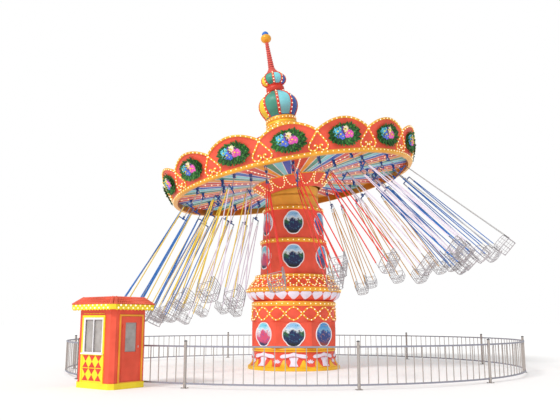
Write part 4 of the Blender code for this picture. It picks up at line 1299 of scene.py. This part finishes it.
def chainEnds(drop):  # the top and the bottom of each chain, in the chair's own frame
    return [(Vector((side * chair["chainTop"], along * 0.02, chair["spreadLevel"] - 0.03)),
             Vector((side * 0.279, along * 0.210, -drop + 0.052))) for side in (-1, 1) for along in (-1, 1)]


def chairSleeves(drop):
    shape = Shape()
    for top, low in chainEnds(drop):
        way = low - top
        path = [top + way * share for share in (0.045, 0.30, 0.60, 0.955)]
        shape.add(tube(path, chair["sleeve"], 8))
    return shape


def chairChains(drop):  # bare links show where the sleeves stop
    shape = Shape()
    for top, low in chainEnds(drop):
        way = (low - top).normalized()
        total = (low - top).length
        for first, count in ((0.0, 5), (total * 0.958, 5)):
            for i in range(count):
                centre = top + way * (first + 0.020 + 0.034 * i)
                side = Vector((1, 0, 0)) if i % 2 else Vector((0, 1, 0))
                other = way.cross(side).normalized()
                path = [centre + way * (0.024 * cos(2 * pi * k / 8)) + other * (0.011 * sin(2 * pi * k / 8))
                        for k in range(8)]
                shape.add(tube(path, 0.0042, 4, closed=True))
        shape.add(tube([top + way * 0.02, low - way * 0.02], 0.004, 4))
    return shape


def chairSeat(drop):  # a bent-wire basket: oval side loops, slatted back and seat, and a bar in front
    shape, wire = Shape(), chair["wire"]
    arm, sit, back = -drop + 0.055, -drop - 0.215, -drop + 0.275
    half, front, rear = chair["wide"], -chair["deep"], chair["deep"]
    for side in (-1, 1):
        x = side * half
        knots = [(x, front - 0.01, arm - 0.05), (x, front + 0.03, arm), (x, 0.0, arm + 0.012), (x, rear - 0.02, arm + 0.02),
                 (x, rear + 0.015, arm - 0.06), (x, rear - 0.01, sit + 0.05), (x, rear - 0.07, sit), (x, 0.0, sit - 0.012),
                 (x, front + 0.04, sit), (x, front - 0.015, sit + 0.06)]
        shape.add(tube([Vector(p) for p in smoothPath(knots, 3, True)], wire, 6, closed=True))
        inner = [Vector((x, p.y * 0.62, (p.z - (arm + sit) / 2) * 0.60 + (arm + sit) / 2))
                 for p in [Vector(k) for k in smoothPath(knots, 2, True)]]
        shape.add(tube(inner, wire * 0.7, 6, closed=True))
        upright = [(x, rear + 0.005, sit + 0.03), (x * 0.99, rear + 0.022, arm), (x * 0.96, rear + 0.034, back - 0.05),
                   (x * 0.86, rear + 0.036, back)]
        shape.add(tube([Vector(p) for p in smoothPath(upright, 3)], wire, 6))
        for along in (-1, 1):
            shape.add(ringBand(0.020, 0.005, 8, 4), 0, Matrix.Translation((side * 0.279, along * 0.205, arm - 0.004)))
            shape.add(tube([Vector((x, along * 0.19, arm)), Vector((side * 0.284, along * 0.205, arm - 0.01))], 0.011, 6))
    top = [(-half * 0.86, rear + 0.036, back), (-half * 0.5, rear + 0.040, back + 0.018), (0, rear + 0.042, back + 0.024),
           (half * 0.5, rear + 0.040, back + 0.018), (half * 0.86, rear + 0.036, back)]
    shape.add(tube([Vector(p) for p in smoothPath(top, 3)], wire, 6))
    slat = chair["slat"]
    for i in range(5):  # bars of the back and of the seat run across
        level = sit + 0.09 + i * (back - sit - 0.15) / 4
        shape.add(tube([Vector((-half, rear + 0.018, level)), Vector((half, rear + 0.018, level))], slat, 6))
    for i in range(5):
        y = front + 0.03 + i * 0.085
        shape.add(tube([Vector((-half, y, sit)), Vector((half, y, sit))], slat * 1.2, 6))
    for x in (-0.135, 0.0, 0.135):
        shape.add(tube([Vector((x, front - 0.02, sit - 0.008)), Vector((x, rear - 0.05, sit - 0.008)),
                        Vector((x, rear + 0.008, sit + 0.05)), Vector((x, rear + 0.036, back + 0.012))], slat, 6))
    lip = [(-half, front - 0.012, sit + 0.045), (-half * 0.7, front - 0.03, sit - 0.012), (half * 0.7, front - 0.03, sit - 0.012),
           (half, front - 0.012, sit + 0.045)]
    shape.add(tube([Vector(p) for p in smoothPath(lip, 4)], wire, 6))
    bar = [(-half, front - 0.005, arm - 0.02), (-half * 0.6, front - 0.045, arm - 0.015), (0, front - 0.055, arm - 0.012),
           (half * 0.6, front - 0.045, arm - 0.015), (half, front - 0.005, arm - 0.02)]
    shape.add(tube([Vector(p) for p in smoothPath(bar, 4)], wire * 1.1, 8))
    shape.add(tube([Vector((0, front - 0.052, arm - 0.012)), Vector((0, front - 0.028, sit - 0.01))], wire * 0.8, 6))
    return shape


def sleeveColours(rowName, place):  # front and back pairs of a chair, by where it hangs
    turn = round((place + 180) % 360 - 180)
    if (rowName, turn) == ("outer", 60):
        return paleSleeve, paleSleeve
    pairs = {-15: "rr", 0: "rr", 15: "rr", 30: "ll", 45: "ll", 60: "bb", 75: "bb", 90: "bb", 105: "bb", 120: "gg",
             135: "gg", 150: "gg", 165: "gg", -180: "gg", -165: "ll", -150: "ll", -135: "ly", -120: "yl", -105: "by",
             -90: "yb", -75: "bb", -60: "by", -45: "yy", -30: "yl"}
    found = {"r": redSleeve, "l": lilacSleeve, "b": blueSleeve, "g": goldSleeve, "y": yellowSleeve}
    return [found[letter] for letter in pairs[turn]]


redSleeve = sleeveFinish("redSleeve", tint(226, 44, 30))
lilacSleeve = sleeveFinish("lilacSleeve", tint(228, 216, 234))
blueSleeve = sleeveFinish("blueSleeve", tint(16, 110, 196))
paleSleeve = sleeveFinish("paleSleeve", tint(186, 186, 186))
yellowSleeve = sleeveFinish("yellowSleeve", tint(240, 206, 60))
goldSleeve = sleeveFinish("goldSleeve", tint(220, 158, 36))
seatZinc = zincSteel("seatZinc", tint(172, 167, 171), 0.45, 0.3)
chainSteel = zincSteel("chainSteel", tint(140, 138, 140), 0.36, 0.8)

for rowName, radius, start, fling, drop in rows:
    hanger, seatShape, sleeves, chains = chairHanger(), chairSeat(drop), chairSleeves(drop), chairChains(drop)
    count = len(sleeves.faces) // 4
    for i in range(12):
        place = start + 30 * i
        out, _ = azimuth(place)
        lean, side = azimuth(place + bracket["trail"])
        up, angle = Vector((0, 0, 1)), radians(fling)
        axisX, axisZ = lean * cos(angle) + up * sin(angle), up * cos(angle) - lean * sin(angle)
        matrix = Matrix((axisX, side, axisZ)).transposed().to_4x4()
        matrix.translation = out * radius + up * bracket["pinLevel"]
        matrix = rotorPlace @ matrix
        front, back = sleeveColours(rowName, place)
        node = f"chair_{rowName}_{i + 1:02d}"
        label = f"{rowName}Chair{i + 1:02d}"
        metal = Shape()
        metal.add((hanger.points, hanger.faces), list(hanger.marks))
        metal.add((chains.points, chains.faces), 0)
        addPiece(label + "Hanger", metal.mesh(label + "Hanger", matrix), [chainSteel, hangerBlue, whiteMetal], node,
                 [node])
        marks = [[0, 1][k // count % 2] for k in range(len(sleeves.faces))]
        addPiece(label + "Sleeves", Shape().add((sleeves.points, sleeves.faces), marks).mesh(label + "Sleeves", matrix),
                 [front, back], node)
        seatPart = Shape().add((seatShape.points, seatShape.faces))
        addPiece(label + "Seat", seatPart.mesh(label + "Seat", matrix), [seatZinc], node)
print("chairs done")


# Fence.

fence = {"radius": 8.22, "post": 0.040, "tall": 1.235, "rails": (0.123, 1.080), "railTall": 0.044, "railDeep": 0.036,
         "picket": 0.0105, "between": 16,
         "posts": (-20.4, 11.7, 43.0, 76.5, 108.0, 139.5, 171.4, 203.3, 237.5, 273.0, 306.5),
         "nodes": (("fence_front", -1, 4), ("fence_right", 3, 4), ("fence_left", 7, 3))}


def picketShape():
    size, (low, high) = fence["picket"], fence["rails"]
    return Shape().add(block((-size, -size, low), (size, size, high), 0.0018))


def arcRail(first, last, level):
    steps = max(2, round((last - first) / 1.6))
    points = []
    for i in range(steps + 1):
        out, _ = azimuth(first + (last - first) * i / steps)
        deep, tall, ease = fence["railDeep"] / 2, fence["railTall"] / 2, 0.005
        for r, z in ((-deep + ease, -tall), (deep - ease, -tall), (deep, -tall + ease), (deep, tall - ease),
                     (deep - ease, tall), (-deep + ease, tall), (-deep, tall - ease), (-deep, -tall + ease)):
            points.append(out * (fence["radius"] + r) + Vector((0, 0, level + z)))
    return points, gridFaces(steps + 1, 8) + [tuple(range(8)), tuple(range(steps * 8, steps * 8 + 8))]


def postShape():  # a tube with a capped top, a base plate and its bolts
    r, tall = fence["post"], fence["tall"]
    shape = Shape().add(turned([(0, 0.006), (r, 0.006), (r, tall - 0.012), (0, tall - 0.012)], 20), 0)
    shape.add(turned([(0, tall - 0.03), (r + 0.004, tall - 0.03), (r + 0.004, tall - 0.008), (r * 0.7, tall + 0.001),
                      (0, tall + 0.004)], 20), 1)
    shape.add(block((-0.085, -0.085, 0.0), (0.085, 0.085, 0.012), 0.003), 0)
    for x in (-0.06, 0.06):
        for y in (-0.06, 0.06):
            shape.add(prism([(x + 0.011 * cos(pi / 3 * k), y + 0.011 * sin(pi / 3 * k)) for k in range(6)], 0.010, 0.024), 1)
    for level in fence["rails"]:
        shape.add(turned([(0, level - 0.035), (r + 0.006, level - 0.035), (r + 0.006, level + 0.035), (0, level + 0.035)],
                         20), 0)
    return shape


postPart, picketPart = postShape(), picketShape()
for node, first, bays in fence["nodes"]:
    stops = [fence["posts"][(first + i) % 11] + 360 * ((first + i) // 11) for i in range(bays + 1)]
    frameShape, spots, turns = Shape(), [], []
    for level in fence["rails"]:
        frameShape.add(arcRail(stops[0], stops[-1], level), 2)
    shared = {"fence_front": (0, len(stops)), "fence_right": (1, len(stops)), "fence_left": (1, len(stops))}[node]
    for turn in stops[shared[0]:shared[1]]:
        place = Matrix.Translation(azimuth(turn)[0] * fence["radius"]) @ Matrix.Rotation(radians(turn), 4, "Z")
        frameShape.add((postPart.points, postPart.faces), list(postPart.marks), place)
    addPiece(node + "Frame", frameShape.mesh(node + "Frame"), [fenceZinc, steelDark, railZinc], "tower",
             [node])
    for a, b in zip(stops, stops[1:]):
        for k in range(fence["between"]):
            turn = a + (b - a) * (k + 1) / (fence["between"] + 1)
            spots.append(azimuth(turn)[0] * fence["radius"])
            turns.append((0, 0, radians(turn)))
    holder = asTemplate(picketPart)
    mesh = grown(node + "Pickets", scatter, {"Template": holder, "Copy Size": 1.0, "Finish": fenceZinc}, spots, turns,
                 sharp=38)
    bpy.data.objects.remove(holder)
    addGrown(node + "Pickets", mesh, "tower")
print("fence done")


# Ticket booth.

booth = {"centre": (-4.925, -7.370), "turn": -35.0, "wide": 1.45, "deep": 1.18, "eave": 2.050,
         "eaveTop": 2.180, "over": 0.150, "peak": 2.360, "inset": 0.060, "cut": 0.100,
         "window": (-0.40, 0.33, 0.92, 1.79), "door": (-0.27, 0.33, 0.17, 1.86)}
boothPlace = Matrix.Translation((*booth["centre"], 0)) @ Matrix.Rotation(radians(booth["turn"]), 4, "Z")
halfWide, halfDeep = booth["wide"] / 2, booth["deep"] / 2


def onFront(x, z, rise=0.0):  # a point on the window wall
    return Vector((x, -halfDeep - rise, z))


def onSide(y, z, rise=0.0):  # a point on the door wall
    return Vector((halfWide + rise, y, z))


def plate(face, low, high, left, right, thick, ease=0.004, sink=0.004):  # a bevelled rectangle on one of the walls
    points = []
    for rise, cut in ((-sink, 0.0), (thick - ease, 0.0), (thick, ease)):
        for u, z in ((left + cut, low + cut), (right - cut, low + cut), (right - cut, high - cut), (left + cut, high - cut)):
            points.append(face(u, z, rise))
    return points, gridFaces(3, 4) + [(0, 1, 2, 3), (8, 9, 10, 11)]


def cutPlate(face, outline, thick, sink=0.004):
    count = len(outline)
    points = [face(u, z, -sink) for u, z in outline] + [face(u, z, thick) for u, z in outline]
    faces = [tuple(range(count)), tuple(range(count, 2 * count))]
    return points, faces + [(i, (i + 1) % count, (i + 1) % count + count, i + count) for i in range(count)]


def surround(shape, face, left, right, low, high, width, thick, mark=0):  # four bars round an opening
    shape.add(plate(face, low, high, left - width, left, thick), mark)
    shape.add(plate(face, low, high, right, right + width, thick), mark)
    shape.add(plate(face, high, high + width, left - width, right + width, thick), mark)
    shape.add(plate(face, low - width, low, left - width, right + width, thick), mark)


left, right, low, high = booth["window"]
frames = Shape()
panelLeft, panelRight = -0.500, 0.425
surround(frames, onFront, panelLeft + 0.060, panelRight - 0.060, 0.16, 1.83, 0.060, 0.030)
frames.add(plate(onFront, 0.16, low - 0.035, panelLeft + 0.03, panelRight - 0.03, 0.014))
frames.add(plate(onFront, low - 0.06, low - 0.03, panelLeft, panelRight, 0.034))
for i in range(14):
    frames.add(plate(onFront, 1.925, 1.945, panelLeft + 0.03 + i * 0.062, panelLeft + 0.058 + i * 0.062, 0.014))
addPiece("boothTrim", frames.mesh("boothTrim", boothPlace), [yellowPaint], "tower")

doorFrame = Shape()
surround(doorFrame, onSide, -0.335, 0.392, 0.175, 1.865, 0.045, 0.024)
addPiece("boothDoorFrame", doorFrame.mesh("boothDoorFrame", boothPlace), [goldPaint], "tower")

sash = Shape()
middle = (left + right) / 2
surround(sash, onFront, left, right, low, high, 0.040, 0.024)
for a, b in ((left, middle), (middle, right)):
    surround(sash, onFront, a + 0.014, b - 0.014, low + 0.014, high - 0.014, 0.014, 0.016)
sash.add(plate(onFront, low, high, middle - 0.014, middle + 0.014, 0.022))
sash.add(plate(onFront, low - 0.045, low - 0.010, left - 0.07, right + 0.07, 0.075))
addPiece("boothSash", sash.mesh("boothSash", boothPlace), [whitePaint], "tower")

diamonds = Shape()
cells, wide = 3, (panelRight - panelLeft - 0.13) / 3
for row in range(2):
    base = 0.20 + row * 0.335
    for i in range(cells):
        a = panelLeft + 0.065 + i * wide
        b, c = a + wide, a + wide / 2
        diamonds.add(cutPlate(onFront, [(a + 0.012, base), (b - 0.012, base), (c, base + 0.150)], 0.020))
        diamonds.add(cutPlate(onFront, [(c, base + 0.162), (b - 0.012, base + 0.312), (a + 0.012, base + 0.312)], 0.020))
addPiece("boothDiamonds", diamonds.mesh("boothDiamonds", boothPlace), [deepRed], "tower")

# Eave band with two staggered rows of lamps, and the pointed edging below it.
outWide, outDeep = halfWide + booth["over"], halfDeep + booth["over"]
corner = booth["cut"]
eaveLine = [(-outWide + corner, -outDeep), (outWide - corner, -outDeep), (outWide, -outDeep + corner),
            (outWide, outDeep - corner), (outWide - corner, outDeep), (-outWide + corner, outDeep),
            (-outWide, outDeep - corner), (-outWide, -outDeep + corner)]


def grownOutline(line, out):  # an eight-sided outline moved outwards
    return [(x + out * (1 if x > 0 else -1), y + out * (1 if y > 0 else -1)) for x, y in line]


edging, band, eaveLamps = Shape(), Shape(), []
points = []
for z, out in ((booth["eave"] - 0.012, 0.004), (booth["eave"] + 0.010, 0.016), (booth["eaveTop"] - 0.020, 0.016),
               (booth["eaveTop"] + 0.006, 0.004), (booth["eaveTop"] + 0.006, -0.05), (booth["eave"] - 0.012, -0.05)):
    points += [Vector((x, y, z)) for x, y in grownOutline(eaveLine, out)]
faces = gridFaces(6, 8) + [(40 + k, 40 + (k + 1) % 8, (k + 1) % 8, k) for k in range(8)]
band.add((points, faces))
line = grownOutline(eaveLine, 0.018)
for (xa, ya), (xb, yb) in zip(line, line[1:] + line[:1]):
    length = hypot(xb - xa, yb - ya)
    if length < 0.3:
        continue
    count = round(length / 0.170)
    for row, z in enumerate((booth["eave"] + 0.030, booth["eaveTop"] - 0.032)):
        for i in range(count - row):
            share = (i + 0.5 + 0.5 * row) / count
            eaveLamps.append(Vector((xa + (xb - xa) * share, ya + (yb - ya) * share, z)))
    count = round(length / 0.115)
    normal = Vector((yb - ya, xa - xb, 0)).normalized()
    for i in range(count):
        a, b = i / count + 0.004, (i + 1) / count - 0.004
        spots = []
        for depth in (0.0, -0.012):
            for share, z in ((a, booth["eave"] + 0.004), (b, booth["eave"] + 0.004), ((a + b) / 2, booth["eave"] - 0.034)):
                spots.append(Vector((xa + (xb - xa) * share, ya + (yb - ya) * share, z)) + normal * (depth - 0.012))
        edging.add((spots, [(0, 1, 2), (3, 4, 5), (0, 1, 4, 3), (1, 2, 5, 4), (2, 0, 3, 5)]))
addPiece("boothBand", band.mesh("boothBand", boothPlace), [yellowPaint], "tower")
addPiece("boothEdging", edging.mesh("boothEdging", boothPlace), [yellowPaint], "tower")
addLamps("boothLamps", eaveLamps, 0.025, "tower", boothPlace)

# Roof of round tiles in courses up its slope, with ridge rolls on the hips.
rise = booth["peak"] - booth["eaveTop"]
tileRows, tileWide, roofShape = 4, 0.068, Shape()
lowLine = grownOutline(eaveLine, 0.010)
innerWide, innerDeep = halfWide - booth["inset"], halfDeep - booth["inset"]
innerCut = booth["cut"] - 2 * booth["inset"] + booth["inset"] * hypot(1, 1)
highLine = [(-innerWide + innerCut, -innerDeep), (innerWide - innerCut, -innerDeep), (innerWide, -innerDeep + innerCut),
            (innerWide, innerDeep - innerCut), (innerWide - innerCut, innerDeep), (-innerWide + innerCut, innerDeep),
            (-innerWide, innerDeep - innerCut), (-innerWide, -innerDeep + innerCut)]


def onSlope(side, along, share, lift):  # a point on one side of the roof, from the eave at 0 to the flat top at 1
    (xa, ya), (xb, yb) = (Vector(line[side % 8]).lerp(Vector(line[(side + 1) % 8]), along) for line in (lowLine, highLine))
    return Vector((xa + (xb - xa) * share, ya + (yb - ya) * share, booth["eaveTop"] + rise * share + lift))


for row in range(tileRows):
    points = []
    for share, lift in ((row / tileRows, 0.014), (row / tileRows, -0.01), (min((row + 1.2) / tileRows, 1.0), -0.01),
                        ((row + 1.0) / tileRows, 0.002)):
        points += [onSlope(side, 0.0, share, lift) for side in range(8)]
    roofShape.add((points, gridFaces(4, 8) + [(24 + k, 24 + (k + 1) % 8, (k + 1) % 8, k) for k in range(8)]), 1)
    for side in range(8):
        count = round((onSlope(side, 1.0, 0.0, 0.0) - onSlope(side, 0.0, 0.0, 0.0)).length / tileWide)
        for i in range(count):
            path = [onSlope(side, (i + 0.5) / count, (row + step) / tileRows, lift)
                    for step, lift in ((-0.12, 0.016), (0.9, 0.004))]
            roofShape.add(tube(path, tileWide * 0.40, 6), 0)
for side in range(8):
    roofShape.add(tube([onSlope(side, 0.0, share, 0.014) for share in (-0.05, 1.0)], 0.020, 8), 0)
    roofShape.add(tube([onSlope(side, share, 1.0, 0.004) for share in (0.0, 1.0)], 0.016, 8), 0)
addPiece("boothTiles", roofShape.mesh("boothTiles", boothPlace), [tileRed, jointRed], "tower")

# The door's furniture.
leaf = Shape()
doorRight = booth["door"][1]
surround(leaf, onSide, -0.17, 0.21, 0.94, 1.70, 0.014, 0.008)
leaf.add(plate(onSide, 1.04, 1.10, doorRight - 0.060, doorRight - 0.034, 0.008), 1)
addPiece("doorFurniture", leaf.mesh("doorFurniture", boothPlace), [coralPaint, whiteMetal], "booth_door")

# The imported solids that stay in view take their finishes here.
for name, finish in (("booth_plinth", yellowPaint), ("booth_walls", coralPaint), ("booth_window", paneGlass),
                     ("booth_roof", roofRed), ("booth_door", coralPaint), ("door_glass", paneGlass),
                     ("hub_plate", orangePaint), ("tilt_head", steelDark)):
    for slotIndex in range(len(nodes[name].material_slots)):
        nodes[name].material_slots[slotIndex].material = finish
print("booth done")


# Stage, light and camera.

floorMesh = bpy.data.meshes.new("floor")
floorMesh.from_pydata([(-400, -400, -0.002), (400, -400, -0.002), (400, 400, -0.002), (-400, 400, -0.002)], [], [(0, 1, 2, 3)])
floorPlane = bpy.data.objects.new("floor", floorMesh)
scene.collection.objects.link(floorPlane)
floorFinish, _, floorShader = blankFinish("floorFinish")
floorShader.inputs["Base Color"].default_value = (0.86, 0.86, 0.86, 1)
floorShader.inputs["Roughness"].default_value = 0.9
floorShader.inputs["Emission Color"].default_value = (1, 1, 1, 1)
floorShader.inputs["Emission Strength"].default_value = 0.16
floorMesh.materials.append(floorFinish)
floorPlane.visible_shadow = False

world = bpy.data.worlds.new("studio")
scene.world = world
world.use_nodes = True
backdrop = world.node_tree.nodes["Background"]
backdrop.inputs["Color"].default_value = (1, 1, 1, 1)
seen = world.node_tree.nodes.new("ShaderNodeLightPath")  # a white backdrop that lights the ride more softly
strength = world.node_tree.nodes.new("ShaderNodeMapRange")
strength.inputs["To Min"].default_value, strength.inputs["To Max"].default_value = 0.66, 1.0
world.node_tree.links.new(seen.outputs["Is Camera Ray"], strength.inputs["Value"])
world.node_tree.links.new(strength.outputs["Result"], backdrop.inputs["Strength"])

keyLight = bpy.data.lights.new("keyLight", "SUN")
keyLight.energy = 1.9
keyLight.angle = radians(12)
keyLight.color = (1.0, 0.98, 0.95)
keyObject = bpy.data.objects.new("keyLight", keyLight)
keyObject.rotation_euler = (radians(50), 0, radians(-42))
scene.collection.objects.link(keyObject)
fillLight = bpy.data.lights.new("fillLight", "SUN")
fillLight.energy = 0.45
fillLight.angle = radians(40)
fillObject = bpy.data.objects.new("fillLight", fillLight)
fillObject.rotation_euler = (radians(112), 0, radians(-14))
scene.collection.objects.link(fillObject)

cameraData = bpy.data.cameras.new("camera")
cameraData.sensor_fit = "HORIZONTAL"
cameraData.sensor_width = 36
cameraData.lens = 41.774
cameraData.clip_end = 1000
camera = bpy.data.objects.new("camera", cameraData)
camera.location = (0, -25.237, 1.696)
camera.rotation_euler = (radians(99.836), 0, radians(1.187))
scene.collection.objects.link(camera)
scene.camera = camera
scene.view_settings.view_transform = "Standard"

print("stage done")
